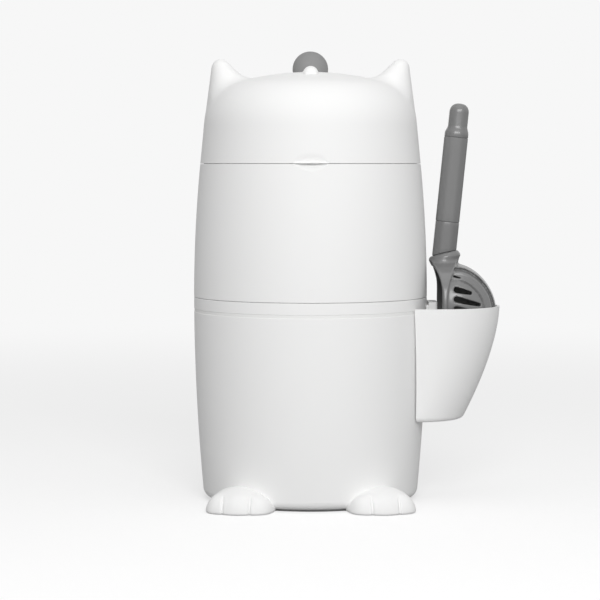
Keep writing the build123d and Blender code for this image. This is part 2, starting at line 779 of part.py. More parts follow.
def dome_form(inset):
    """The lid's leaning wall under its dome, drawn in by inset, with a rounded shoulder."""
    corner_radius, corner_height = dome_corner(inset)
    with BuildPart() as form:
        with BuildSketch(Plane.XZ) as profile:
            with BuildLine():
                Polyline((0, lid_top - inset), (0, lid_bottom),
                         (flank_radius(lid_bottom) - inset, lid_bottom),
                         (corner_radius, corner_height))
                ThreePointArc((corner_radius, corner_height),
                              (corner_radius / 2, dome_height(corner_radius / 2, inset)),
                              (0, lid_top - inset))
            make_face()
            shoulder = profile.vertices().sort_by(Axis.X)[-2:].sort_by(Axis.Y)[-1]
            fillet(shoulder, shoulder_radius - inset)
        revolve(axis=Axis.Z)
    return form.part


def ear_form(inset):
    """One ear at +X: rounded sections that shrink to a soft tip and lean outwards."""
    tip = lid_top + ear_rise - inset
    with BuildPart() as ear:
        for share in ear_stations:
            size = (1 - share ** 2) ** ear_roundness
            centre = ear_centre + ear_shift * share ** ear_lean_growth
            with BuildSketch(Plane.XY.offset(tip - (1 - share) * ear_root)):
                with Locations((centre, 0)):
                    Ellipse(size * (ear_width / 2 - inset), size * (ear_depth / 2 - inset))
        loft()
    return ear.part


with BuildPart() as lip:
    with BuildSketch(Plane.XY):
        with BuildLine():
            EllipticalCenterArc((0, 0), lip_half_width, lip_radius, start_angle=0, arc_size=180)
            Line((-lip_half_width, 0), (lip_half_width, 0))
        make_face()
    revolve(axis=Axis.X)
lip_form = Location((0, lip_radius - flank_radius(lid_bottom) - lip_reach, lid_bottom)) * lip.part
lid_knuckle = knuckle_form(-centre_knuckle_length / 2, centre_knuckle_length, lid_pin_y, lid_pin_z,
                           flank_radius(lid_base) - knuckle_arm_sink, lid_base + arm_start,
                           lid_base + arm_start + arm_height)
seal_rib_outer = rim_inner - seal_rib_clearance
lid_outside = dome_form(0)
lid_inside = dome_form(shell_wall)
ear_outside = ear_form(0)
ear_inside = ear_form(ear_wall)

with BuildPart() as lid_shell:
    add(lid_outside)
    add(ear_outside)
    mirror(ear_outside, about=Plane.YZ)
    add(lip_form)
    split(bisect_by=Plane.XY.offset(lid_bottom), keep=Keep.TOP)
    add(lid_inside, mode=Mode.SUBTRACT)
    add(ear_inside, mode=Mode.SUBTRACT)
    mirror(ear_inside, about=Plane.YZ, mode=Mode.SUBTRACT)
    # bearing tube of the turning cap, and the ledge that presses on the seal
    add(ring_form(cap_radius + cap_gap, tube_outer, skirt_bottom + retainer_thickness + slide_gap,
                  dome_height(tube_outer) - shell_wall / 2))
    with BuildSketch(Plane.XZ):
        with BuildLine():
            Polyline((seal_rib_outer - seal_rib_width, lid_bottom),
                     (seal_rib_outer - seal_rib_width, lid_bottom + seal_rib_height + deck_wall),
                     (flank_radius(lid_bottom + seal_rib_height) - shell_wall / 2,
                      lid_bottom + seal_rib_height + deck_wall),
                     (flank_radius(lid_bottom + seal_rib_height) - shell_wall / 2,
                      lid_bottom + seal_rib_height),
                     (seal_rib_outer, lid_bottom + seal_rib_height),
                     (seal_rib_outer, lid_bottom), close=True)
        make_face()
    revolve(axis=Axis.Z)
    with BuildSketch(Plane.XY.offset(skirt_bottom)):
        Circle(cap_radius + cap_gap)
    extrude(amount=2 * cap_skirt_depth, mode=Mode.SUBTRACT)
    add(lid_knuckle)
    add(pin_hole(lid_pin_y, lid_pin_z, pin_radius + pin_clearance, pin_length),
        mode=Mode.SUBTRACT)
lid_shell.part.label = "lid_shell"
export_step(lid_shell.part, "parts/lid_shell.step")


# ================================================================== turning cap and its grip
with BuildPart() as cap_blank:
    with BuildSketch(Plane.XZ):
        with BuildLine():
            Polyline((0, lid_top), (0, skirt_bottom), (cap_radius, skirt_bottom),
                     (cap_radius, dome_height(cap_radius)))
            ThreePointArc((cap_radius, dome_height(cap_radius)),
                          (cap_radius / 2, dome_height(cap_radius / 2)), (0, lid_top))
        make_face()
    revolve(axis=Axis.Z)

hub_top = lid_top - cap_wall - hub_seat_drop
ball_seat = dome_height(ball_back) - ball_seat_sink
with BuildPart() as rotary_cap:
    add(cap_blank.part)
    with BuildSketch(Plane.XZ):
        with BuildLine():
            Polyline((0, hub_top), (hub_flange_radius, hub_top),
                     (hub_flange_radius, dome_height(hub_flange_radius, cap_wall)))
            ThreePointArc((hub_flange_radius, dome_height(hub_flange_radius, cap_wall)),
                          (cap_radius / 2, dome_height(cap_radius / 2, cap_wall)),
                          (cap_radius - bearing_wall,
                           dome_height(cap_radius - bearing_wall, cap_wall)))
            Polyline((cap_radius - bearing_wall, dome_height(cap_radius - bearing_wall, cap_wall)),
                     (cap_radius - bearing_wall, skirt_bottom), (0, skirt_bottom), (0, hub_top))
        make_face()
    revolve(axis=Axis.Z, mode=Mode.SUBTRACT)
    # flat seat and hole of the ball's stem
    with Locations((0, ball_back, ball_seat)):
        Cylinder(ball_seat_radius + slide_gap, cap_wall,
                 align=(Align.CENTER, Align.CENTER, Align.MIN), mode=Mode.SUBTRACT)
        Cylinder(ball_stem_radius + seat_gap, 4 * cap_wall, mode=Mode.SUBTRACT)
    with PolarLocations(hub_screw_circle, hub_screw_count):
        with Locations((0, 0, hub_top)):
            Cylinder(hub_screw_radius + pin_clearance, hub_screw_bite,
                     align=(Align.CENTER, Align.CENTER, Align.MIN), mode=Mode.SUBTRACT)
rotary_cap.part.label = "rotary_cap"
export_step(rotary_cap.part, "parts/rotary_cap.step")

with BuildPart() as cap_retainer:
    add(ring_form(cap_radius - bearing_wall, cap_radius + retainer_width - bearing_wall,
                  skirt_bottom - retainer_thickness, skirt_bottom))
cap_retainer.part.label = "cap_retainer"
export_step(cap_retainer.part, "parts/cap_retainer.step")

ball_centre = lid_top + ball_height
ball_reach = sqrt(ball_radius ** 2 - (ball_centre - ball_seat) ** 2)
with BuildPart() as tail_ball:
    with Locations((0, ball_back, ball_centre)):
        Sphere(ball_radius)
    split(bisect_by=Plane.XY.offset(ball_seat), keep=Keep.TOP)
    with Locations((0, ball_back, ball_seat)):
        Cylinder(ball_stem_radius, ball_stem_length,
                 align=(Align.CENTER, Align.CENTER, Align.MAX))
tail_ball.part.label = "tail_ball"
export_step(tail_ball.part, "parts/tail_ball.step")

# the grip bar is a half-round ridge that ends in front in a quarter ball and behind in a collar
grip_top = lid_top + grip_rise
with BuildPart() as tail_grip:
    with BuildSketch(Plane.XZ.offset(grip_front)):
        with Locations((0, grip_top - grip_radius)):
            Circle(grip_radius)
    extrude(amount=-(grip_front + ball_back))
    with Locations((0, -grip_front, grip_top - grip_radius)):
        Sphere(grip_radius)
    with Locations((0, ball_back, ball_seat)):
        Sphere(ball_radius + slide_gap + grip_collar_wall)
    split(bisect_by=Plane.XY.offset(grip_top), keep=Keep.BOTTOM)
    split(bisect_by=Plane.XY.offset(skirt_bottom + bearing_wall), keep=Keep.TOP)
    with Locations((0, ball_back, ball_centre)):
        Sphere(ball_radius + slide_gap, mode=Mode.SUBTRACT)
    with Locations((0, ball_back, 0)):
        Cylinder(ball_reach + slide_gap, 3 * lid_top, mode=Mode.SUBTRACT)
    Cylinder(cap_radius - slide_gap, 3 * lid_top, mode=Mode.INTERSECT)
    add(cap_blank.part, mode=Mode.SUBTRACT)
tail_grip.part.label = "tail_grip"
export_step(tail_grip.part, "parts/tail_grip.step")

# ================================================================== drive under the cap
disc_base = lid_base + disc_lift
disc_top = disc_base + disc_thickness
with BuildPart() as drive_hub:
    with Locations((0, 0, disc_top)):
        Cylinder(hub_radius, hub_top - disc_top, align=(Align.CENTER, Align.CENTER, Align.MIN))
    with Locations((0, 0, hub_top)):
        Cylinder(hub_flange_radius, hub_flange_thickness,
                 align=(Align.CENTER, Align.CENTER, Align.MAX))
    with Locations((0, 0, disc_top)):
        Cylinder(hub_radius - shell_wall, hub_top - disc_top,
                 align=(Align.CENTER, Align.CENTER, Align.MIN), mode=Mode.SUBTRACT)
    with PolarLocations(hub_screw_circle, hub_screw_count):
        with Locations((0, 0, hub_top)):
            Cylinder(hub_screw_radius + slide_gap, 2 * hub_flange_thickness, mode=Mode.SUBTRACT)
drive_hub.part.label = "drive_hub"
export_step(drive_hub.part, "parts/drive_hub.step")

with BuildPart() as hub_screws:
    with PolarLocations(hub_screw_circle, hub_screw_count):
        with Locations((0, 0, hub_top - hub_flange_thickness - hub_screw_head)):
            add(screw(hub_screw_head_radius, hub_screw_head, hub_screw_radius,
                      hub_flange_thickness + hub_screw_bite - seat_gap))
hub_screws.part.label = "hub_screws"
export_step(hub_screws.part, "parts/hub_screws.step")

rib_root = hub_radius + seat_gap
with BuildPart() as drive_disc:
    with BuildSketch(Plane.XY.offset(disc_base)):
        Circle(disc_radius)
    extrude(amount=disc_thickness)
    with BuildSketch(Plane.XY.offset(disc_top)):
        Circle(rib_root + disc_thickness)
        Circle(rib_root, mode=Mode.SUBTRACT)
    extrude(amount=disc_rib_height)
    with PolarLocations(0, disc_ribs):
        with Locations((rib_root + disc_thickness / 2, 0, disc_top)):
            Box(disc_radius - rib_root - 2 * disc_thickness, disc_thickness, disc_rib_height,
                align=(Align.MIN, Align.CENTER, Align.MIN))
    with BuildSketch(Plane.XZ):
        with BuildLine():
            Polyline((rib_root + disc_thickness, disc_top + disc_rib_height), (disc_radius, disc_top),
                     (disc_radius, disc_top + disc_rib_height), close=True)
        make_face()
    revolve(axis=Axis.Z, mode=Mode.SUBTRACT)
    with PolarLocations(dog_radius, dog_count):
        with Locations((0, 0, disc_base)):
            Box(dog_width, dog_thickness, dog_reach,
                align=(Align.CENTER, Align.CENTER, Align.MAX))
drive_disc.part.label = "drive_disc"
export_step(drive_disc.part, "parts/drive_disc.step")

# ================================================================== scoop holder
def holder_reach(height):
    """Distance from the pail's axis to the holder's outermost point at a height."""
    share = max(0, (holder_top - height) / (holder_top - holder_bottom))
    return holder_reach_top - (holder_reach_top - holder_reach_bottom) * share ** holder_bulge


def holder_cup(inset, low):
    """The holder's D-shaped outside, drawn in by inset, before the pail's side is cut away."""
    with BuildPart() as cup:
        for step in range(holder_sections):
            height = low + (holder_top - low) * step / (holder_sections - 1)
            share = (height - holder_bottom) / (holder_top - holder_bottom)
            radius = holder_radius_bottom + (holder_radius_top - holder_radius_bottom) * share
            centre = holder_reach(height) - radius
            radius -= inset
            with BuildSketch(Plane.XY.offset(height)):
                with BuildLine():
                    Polyline((centre, -radius), (holder_back, -radius), (holder_back, radius),
                             (centre, radius))
                    ThreePointArc((centre, radius), (centre + radius, 0), (centre, -radius))
                make_face()
        loft()
    return cup.part


def holder_pail_side(gap):
    """The pail's flank as the holder must clear it over its whole lift, grown by gap."""
    low = holder_bottom - holder_corner
    with BuildPart() as flank:
        with BuildSketch(Plane.XZ):
            with BuildLine():
                flank_curve(low + holder_lift, upper_base, -gap, holder_lift)
                Polyline((widest_radius + gap, upper_base - holder_lift),
                         (widest_radius + gap, holder_top + bracket_height),
                         (0, holder_top + bracket_height), (0, low),
                         (flank_radius(low + holder_lift) + gap, low))
            make_face()
        revolve(axis=Axis.Z)
    return flank.part


holder_outside = holder_cup(0, holder_bottom)
holder_inside = holder_cup(holder_wall, holder_bottom + holder_wall)
holder_pail_gap = holder_pail_side(holder_clearance)
holder_pail_wall = holder_pail_side(holder_clearance + holder_wall)
pocket_face = widest_radius + bracket_depth + slide_gap
pocket_half = bracket_width / 2 + slide_gap
pocket_bottom = bracket_base - holder_lift - 1
pocket_top = bracket_top + slide_gap
with BuildPart() as holder_hollow:
    add(holder_inside)
    fillet(holder_hollow.faces().sort_by(Axis.Z)[0].edges(), holder_corner - holder_wall)
    add(holder_pail_wall, mode=Mode.SUBTRACT)

with BuildPart() as holder_relief:
    add(holder_inside)
    split(bisect_by=Plane.XY.offset(holder_back_top), keep=Keep.TOP)

with BuildPart() as scoop_holder:
    add(holder_outside)
    fillet(scoop_holder.faces().sort_by(Axis.Z)[0].edges(), holder_corner)
    add(holder_pail_gap, mode=Mode.SUBTRACT)
    add(holder_hollow.part, mode=Mode.SUBTRACT)
    add(holder_relief.part, mode=Mode.SUBTRACT)
    # the pocket that drops over the pail's bracket, and its hook
    with Locations((widest_radius + holder_clearance, 0, pocket_bottom - hook_wall)):
        Box(pocket_face + hook_wall - widest_radius - holder_clearance, 2 * (pocket_half + hook_wall),
            pocket_top - pocket_bottom + 2 * hook_wall,
            align=(Align.MIN, Align.CENTER, Align.MIN))
    fillet(scoop_holder.edges().filter_by(Axis.Z).group_by(Axis.X)[-1], bracket_round)
    with Locations((pocket_face, 0, pocket_top)):
        Box(2 * bracket_depth, 2 * pocket_half, pocket_top - pocket_bottom,
            align=(Align.MAX, Align.CENTER, Align.MAX), mode=Mode.SUBTRACT)
    with Locations((slot_start_x + seat_gap, 0, pocket_top + hook_wall)):
        Box(hook_thickness, slot_length - 2 * slide_gap, hook_wall + slot_depth,
            align=(Align.MIN, Align.CENTER, Align.MAX))
    add(holder_pail_gap, mode=Mode.SUBTRACT)
scoop_holder.part.label = "scoop_holder"
export_step(scoop_holder.part, "parts/scoop_holder.step")


# ================================================================== scoop basket
def basket_floor(height, inset):
    """Outermost point of the basket's floor: along the holder's wall, then over the heel."""
    if height <= heel_height:
        return holder_reach(height) - holder_wall - basket_gap - inset
    rise = (height - heel_height) / (basket_top - heel_height - inset)
    return neck_front + (heel_reach - inset) * sqrt(max(0, 1 - rise ** 2))


def basket_half(height, inset):
    """Half the basket's width: it narrows to the tip, and at the shoulders to the neck."""
    if height <= heel_height:
        tip_share = (heel_height - height) / (heel_height - basket_tip)
        return basket_half_width - tip_narrowing * tip_share ** 2 - inset
    rise = (height - heel_height) / (basket_top - heel_height - inset)
    shoulder = basket_half_width - neck_half_width
    return neck_half_width - inset + shoulder * sqrt(max(0, 1 - rise ** 2))


def basket_mouth(height):
    """Where the basket's open edge lies: on one plane, then towards the handle's foot."""
    share = max(0, (height - mouth_bend) / (basket_top - mouth_bend))
    return basket_plane - mouth_reach * share ** 2


def basket_form(inset, low, opening):
    """The basket's round-floored trough, drawn in by inset, with its mouth moved by opening."""
    heel = basket_top - heel_height - inset
    below = [low + (heel_height - low) * step / lower_sections for step in range(lower_sections)]
    above = [heel_height + heel * sin(radians(90 * step / (heel_sections + 0.35)))
             for step in range(heel_sections + 1)]
    with BuildPart() as trough:
        for height in below + above:
            mouth = basket_mouth(height) - opening
            half = basket_half(height, inset)
            with BuildSketch(Plane.XY.offset(height)):
                with BuildLine():
                    ThreePointArc((mouth, half), (basket_floor(height, inset), 0), (mouth, -half))
                    Line((mouth, -half), (mouth, half))
                make_face()
        loft()
    return trough.part


heel_reach = basket_floor(heel_height, 0) - neck_front
lean = radians(scoop_lean)
handle_plane = Plane(origin=(handle_foot[0], 0, handle_foot[1]), x_dir=(cos(lean), 0, -sin(lean)),
                     z_dir=(sin(lean), 0, cos(lean)))
basket_outside = basket_form(0, basket_tip, 0)
basket_inside = basket_form(basket_wall, basket_tip - basket_wall, 2 * mouth_reach)

with BuildPart() as scoop_basket:
    add(basket_outside)
    # neck between the heel and the handle's foot
    for offset, half_x, half_y in ((-neck_length, handle_width / 2 + 3, neck_half_width + 4),
                                   (-(neck_length + guard_drop) / 2, handle_width / 2 + 1,
                                    neck_half_width + 1),
                                   (-guard_drop, handle_width / 2, handle_depth / 2)):
        with BuildSketch(handle_plane.offset(offset)):
            Ellipse(half_x, half_y)
    loft()
    add(basket_inside, mode=Mode.SUBTRACT)
    # the tip is cut on a slant, so that the floor's end leads
    with BuildSketch(Plane.XZ):
        with BuildLine():
            Polyline((basket_plane - mouth_reach, basket_tip - 1), (tip_x, basket_tip - 1),
                     (basket_plane, tip_cut), (basket_plane - mouth_reach, tip_cut), close=True)
        make_face()
    extrude(amount=2 * basket_half_width, both=True, mode=Mode.SUBTRACT)
    # slanted slots through both sides
    slant = radians(slot_slant)
    with BuildSketch(Plane.XZ):
        for row in range(side_slots):
            height = first_slot - row * slot_pitch
            length = (basket_floor(height - slot_pitch, 0) - edge_band - slot_start) / cos(slant)
            with Locations((slot_start + length / 2 * cos(slant), height - length / 2 * sin(slant))):
                SlotOverall(length, slot_width, rotation=-slot_slant)
    extrude(amount=2 * basket_half_width, both=True, mode=Mode.SUBTRACT)
    # and a row of slots down the middle of the floor
    with BuildSketch(Plane.YZ.offset(floor_slot_start)):
        with Locations((0, first_slot - 2 * slot_pitch - (floor_slots - 1) * slot_pitch / 2)):
            with GridLocations(0, slot_pitch, 1, floor_slots):
                SlotOverall(floor_slot_length, slot_width)
    extrude(amount=2 * basket_half_width, mode=Mode.SUBTRACT)
    with BuildSketch(handle_plane.offset(-core_sink)):
        Circle(core_radius + pin_clearance)
    extrude(amount=2 * core_sink, mode=Mode.SUBTRACT)
scoop_basket.part.label = "scoop_basket"
export_step(scoop_basket.part, "parts/scoop_basket.step")

# ================================================================== scoop handle
with BuildPart() as scoop_guard:
    for offset, half_x, half_y in ((-guard_drop, handle_width / 2, handle_depth / 2),
                                   (-guard_drop / 2, guard_half_x, guard_half_y),
                                   (0, handle_width / 2, handle_depth / 2)):
        with BuildSketch(handle_plane.offset(offset)):
            Ellipse(half_x, half_y)
    loft()
    with BuildSketch(handle_plane):
        Circle(core_radius + pin_clearance)
    extrude(amount=-2 * guard_drop, mode=Mode.SUBTRACT)
scoop_guard.part.label = "scoop_guard"
export_step(scoop_guard.part, "parts/scoop_guard.step")

with BuildPart() as handle_core:
    with BuildSketch(handle_plane.offset(-core_sink + seat_gap)):
        Circle(core_radius)
    extrude(amount=core_sink + lower_sleeve_length + grip_length + end_cap_length / 2)
handle_core.part.label = "handle_core"
export_step(handle_core.part, "parts/handle_core.step")


def sleeve(start, length, width, depth):
    """A softly squared sleeve on the handle's core."""
    with BuildPart() as tube:
        with BuildSketch(handle_plane.offset(start)):
            RectangleRounded(width, depth, sleeve_round * width)
        extrude(amount=length)
        with BuildSketch(handle_plane.offset(start)):
            Circle(core_radius + pin_clearance)
        extrude(amount=length, mode=Mode.SUBTRACT)
        ends = tube.faces().sort_by(Axis.Z)
        fillet(ends[0].outer_wire().edges() + ends[-1].outer_wire().edges(), sleeve_gap)
    return tube.part


with BuildPart() as lower_sleeve:
    add(sleeve(sleeve_gap / 2, lower_sleeve_length - sleeve_gap / 2, handle_width, handle_depth))
lower_sleeve.part.label = "lower_sleeve"
export_step(lower_sleeve.part, "parts/lower_sleeve.step")

with BuildPart() as grip_sleeve:
    add(sleeve(lower_sleeve_length + sleeve_gap / 2, grip_length - sleeve_gap / 2, handle_width,
               handle_depth))
grip_sleeve.part.label = "grip_sleeve"
export_step(grip_sleeve.part, "parts/grip_sleeve.step")

cap_start = lower_sleeve_length + grip_length + sleeve_gap / 2
with BuildPart() as end_cap:
    with BuildSketch(handle_plane.offset(cap_start)):
        RectangleRounded(end_cap_width, end_cap_width, sleeve_round * end_cap_width)
    extrude(amount=end_cap_length)
    fillet(end_cap.faces().sort_by(Axis.Z)[-1].edges(), end_cap_round)
    with BuildSketch(handle_plane.offset(cap_start)):
        Circle(core_radius + pin_clearance)
    extrude(amount=end_cap_length / 2 + seat_gap, mode=Mode.SUBTRACT)
end_cap.part.label = "end_cap"
export_step(end_cap.part, "parts/end_cap.step")
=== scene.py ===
"""Looks of the litter disposal pail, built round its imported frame.

The lid with its ears, the paws, the grip bar on the turning cap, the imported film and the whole
scoop are modelled here as smooth moulded forms. The other pieces keep their solids and get their
finishes, and the screws and the ribs on the gripper's fingers are repeated by Geometry Nodes.

Sizes in the classes are millimetres in the frame's axes: the origin is on the floor at the pail's
axis, +Z is up, the paws face -Y and the scoop holder hangs at +X.
"""

from __future__ import annotations

import json
import logging
from collections.abc import Callable, Sequence
from dataclasses import dataclass, field
from enum import Enum
from functools import cache
from math import cos, pi, radians, sin, sqrt

import bmesh
import bpy
import numpy as np
from mathutils import Matrix, Vector

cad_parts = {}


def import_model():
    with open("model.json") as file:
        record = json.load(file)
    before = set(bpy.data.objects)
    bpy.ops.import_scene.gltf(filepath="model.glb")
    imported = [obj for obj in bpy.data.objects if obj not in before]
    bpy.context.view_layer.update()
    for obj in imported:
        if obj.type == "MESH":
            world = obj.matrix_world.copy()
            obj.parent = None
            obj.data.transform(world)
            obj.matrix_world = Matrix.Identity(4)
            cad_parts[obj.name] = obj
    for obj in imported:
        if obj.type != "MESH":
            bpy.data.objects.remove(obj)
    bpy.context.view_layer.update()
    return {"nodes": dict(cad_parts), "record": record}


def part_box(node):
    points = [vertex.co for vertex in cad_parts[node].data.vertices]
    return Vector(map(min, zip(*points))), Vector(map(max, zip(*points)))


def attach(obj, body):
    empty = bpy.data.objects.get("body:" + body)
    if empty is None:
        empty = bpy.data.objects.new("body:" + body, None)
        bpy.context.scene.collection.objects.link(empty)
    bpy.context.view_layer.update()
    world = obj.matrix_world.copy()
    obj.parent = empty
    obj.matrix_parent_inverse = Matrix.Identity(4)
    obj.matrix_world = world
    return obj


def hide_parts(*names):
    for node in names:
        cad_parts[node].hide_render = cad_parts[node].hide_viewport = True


LOG = logging.getLogger("litter_pail")
MM = 0.001

Points = np.ndarray
Field = Callable[[Points], Points]


class Body(Enum):
    """The moving bodies that pieces ride on."""

    PAIL = "pail"
    UPPER = "upper_housing"
    LID = "lid"
    CAP = "turning_cap"
    SCOOP = "scoop"


class Slot(Enum):
    """The record's material slots."""

    WHITE = "white_shell"
    TRIM = "white_trim"
    INNER = "inner_white"
    CASSETTE = "cassette"
    FILM = "film"
    GRIPPER = "gripper"
    RUBBER = "rubber"
    KNOB = "gray_knob"
    SCOOP = "gray_scoop"
    GRIP = "gray_grip"
    STEEL = "steel"


# ---------------------------------------------------------------------------- shading
class Graph:
    """A thin helper that adds and joins nodes in one node tree."""

    def __init__(self, tree: bpy.types.NodeTree) -> None:
        """Keeps the tree that nodes go to."""
        self.tree = tree

    def add(self, kind: str, inputs: dict | None = None, **settings) -> bpy.types.Node:
        """Adds a node.

        Args:
            kind: Blender's name of the node type.
            inputs: socket name or number to a value, or to an output socket to link.
            settings: attributes of the node.

        Returns:
            The new node.
        """
        node = self.tree.nodes.new(kind)
        for name, value in settings.items():
            setattr(node, name, value)
        for name, value in (inputs or {}).items():
            if isinstance(value, bpy.types.NodeSocket):
                self.tree.links.new(value, node.inputs[name])
            else:
                node.inputs[name].default_value = value
        return node


def shader_group(name: str, inputs: Sequence[tuple[str, str, float]],
                 outputs: Sequence[tuple[str, str]]) -> tuple[bpy.types.NodeTree, Graph]:
    """Starts a shader node group with named sockets.

    Args:
        name: the group's name.
        inputs: (socket name, socket type, default) of each input.
        outputs: (socket name, socket type) of each output.

    Returns:
        The group's tree and a helper to fill it.
    """
    tree = bpy.data.node_groups.new(name, "ShaderNodeTree")
    for socket, kind, value in inputs:
        made = tree.interface.new_socket(name=socket, in_out="INPUT", socket_type=kind)
        if kind == "NodeSocketFloat":
            made.default_value = value
    for socket, kind in outputs:
        tree.interface.new_socket(name=socket, in_out="OUTPUT", socket_type=kind)
    return tree, Graph(tree)


def cleared_material(name: str) -> tuple[bpy.types.Material, Graph]:
    """Finds or makes a material and clears its nodes.

    Args:
        name: the material's name. The frame brings a plain one along for each slot.

    Returns:
        The material and a helper to fill it.
    """
    made = bpy.data.materials.get(name) or bpy.data.materials.new(name)
    made.use_nodes = True
    made.node_tree.nodes.clear()
    return made, Graph(made.node_tree)


@cache
def moulded_skin() -> bpy.types.NodeTree:
    """Builds the group for moulded surfaces: faint mottling, uneven gloss and a fine grain.

    Returns:
        The node group, which is built once.
    """
    tree, graph = shader_group(
        "moulded_skin",
        [("Colour", "NodeSocketColor", 0), ("Mottle", "NodeSocketFloat", 0.02),
         ("Roughness", "NodeSocketFloat", 0.4), ("Gloss Spread", "NodeSocketFloat", 0.05),
         ("Grain Pitch", "NodeSocketFloat", 0.6), ("Grain Depth", "NodeSocketFloat", 0.02)],
        [("Colour", "NodeSocketColor"), ("Roughness", "NodeSocketFloat"),
         ("Normal", "NodeSocketVector")])
    given = graph.add("NodeGroupInput").outputs
    place = graph.add("ShaderNodeTexCoord").outputs["Object"]
    cloud = graph.add("ShaderNodeTexNoise", {"Vector": place, "Scale": 14.0, "Detail": 2.0})
    patch = graph.add("ShaderNodeTexNoise", {"Vector": place, "Scale": 60.0, "Detail": 3.0})
    spread = graph.add("ShaderNodeMath", {0: cloud.outputs["Fac"], 1: 0.5}, operation="SUBTRACT")
    shade = graph.add("ShaderNodeMath", {0: spread.outputs[0], 1: given["Mottle"], 2: 1.0},
                      operation="MULTIPLY_ADD")
    colour = graph.add("ShaderNodeVectorMath",
                       {0: given["Colour"], "Scale": shade.outputs[0]}, operation="SCALE")
    uneven = graph.add("ShaderNodeMath", {0: patch.outputs["Fac"], 1: 0.5}, operation="SUBTRACT")
    gloss = graph.add("ShaderNodeMath", {0: uneven.outputs[0], 1: given["Gloss Spread"],
                                         2: given["Roughness"]}, operation="MULTIPLY_ADD")
    pitch = graph.add("ShaderNodeMath", {0: given["Grain Pitch"], 1: MM}, operation="MULTIPLY")
    fineness = graph.add("ShaderNodeMath", {0: 1.0, 1: pitch.outputs[0]}, operation="DIVIDE")
    grain = graph.add("ShaderNodeTexNoise",
                      {"Vector": place, "Scale": fineness.outputs[0], "Detail": 1.0})
    depth = graph.add("ShaderNodeMath", {0: given["Grain Depth"], 1: MM}, operation="MULTIPLY")
    bump = graph.add("ShaderNodeBump", {"Height": grain.outputs["Fac"],
                                        "Distance": depth.outputs[0]})
    graph.add("NodeGroupOutput", {"Colour": colour.outputs[0], "Roughness": gloss.outputs[0],
                                  "Normal": bump.outputs[0]})
    return tree


@cache
def rubbed_edges() -> bpy.types.NodeTree:
    """Builds the group that lightens a colour along edges that hands rub.

    Returns:
        The node group, which is built once.
    """
    tree, graph = shader_group(
        "rubbed_edges",
        [("Colour", "NodeSocketColor", 0), ("Rubbed", "NodeSocketColor", 0),
         ("Amount", "NodeSocketFloat", 0.3)],
        [("Colour", "NodeSocketColor")])
    given = graph.add("NodeGroupInput").outputs
    edge = graph.add("ShaderNodeNewGeometry").outputs["Pointiness"]
    mask = graph.add("ShaderNodeMapRange", {"Value": edge, "From Min": 0.52, "From Max": 0.62})
    share = graph.add("ShaderNodeMath", {0: mask.outputs[0], 1: given["Amount"]},
                      operation="MULTIPLY")
    mixed = graph.add("ShaderNodeMix", {"Factor": share.outputs[0], "A": given["Colour"],
                                        "B": given["Rubbed"]}, data_type="RGBA")
    graph.add("NodeGroupOutput", {"Colour": mixed.outputs["Result"]})
    return tree


@dataclass(frozen=True)
class Moulded:
    """A moulded plastic or rubber finish.

    Attributes:
        slot: the record's slot it stands for.
        colour: linear base colour.
        roughness: mean roughness.
        mottle: how much the colour varies.
        spread: how much the roughness varies.
        pitch: the grain's pitch in millimetres.
        depth: the grain's depth in millimetres.
        rubbed: linear colour of rubbed edges, or None where none are rubbed.
    """

    slot: Slot
    colour: tuple[float, float, float]
    roughness: float
    mottle: float = 0.02
    spread: float = 0.05
    pitch: float = 0.5
    depth: float = 0.015
    rubbed: tuple[float, float, float] | None = None

    @cache
    def material(self) -> bpy.types.Material:
        """Returns this finish as its slot's material, built once."""
        made, graph = cleared_material(self.slot.value)
        colour = graph.add("ShaderNodeRGB")
        colour.outputs[0].default_value = (*self.colour, 1.0)
        source = colour.outputs[0]
        if self.rubbed:
            edges = graph.add("ShaderNodeGroup", node_tree=rubbed_edges())
            graph.tree.links.new(source, edges.inputs["Colour"])
            edges.inputs["Rubbed"].default_value = (*self.rubbed, 1.0)
            source = edges.outputs["Colour"]
        skin = graph.add("ShaderNodeGroup", node_tree=moulded_skin())
        graph.tree.links.new(source, skin.inputs["Colour"])
        for name, value in (("Mottle", self.mottle), ("Roughness", self.roughness),
                            ("Gloss Spread", self.spread), ("Grain Pitch", self.pitch),
                            ("Grain Depth", self.depth)):
            skin.inputs[name].default_value = value
        surface = graph.add("ShaderNodeBsdfPrincipled", {
            "Base Color": skin.outputs["Colour"], "Roughness": skin.outputs["Roughness"],
            "Normal": skin.outputs["Normal"], "IOR": 1.5})
        graph.add("ShaderNodeOutputMaterial", {"Surface": surface.outputs[0]})
        return made


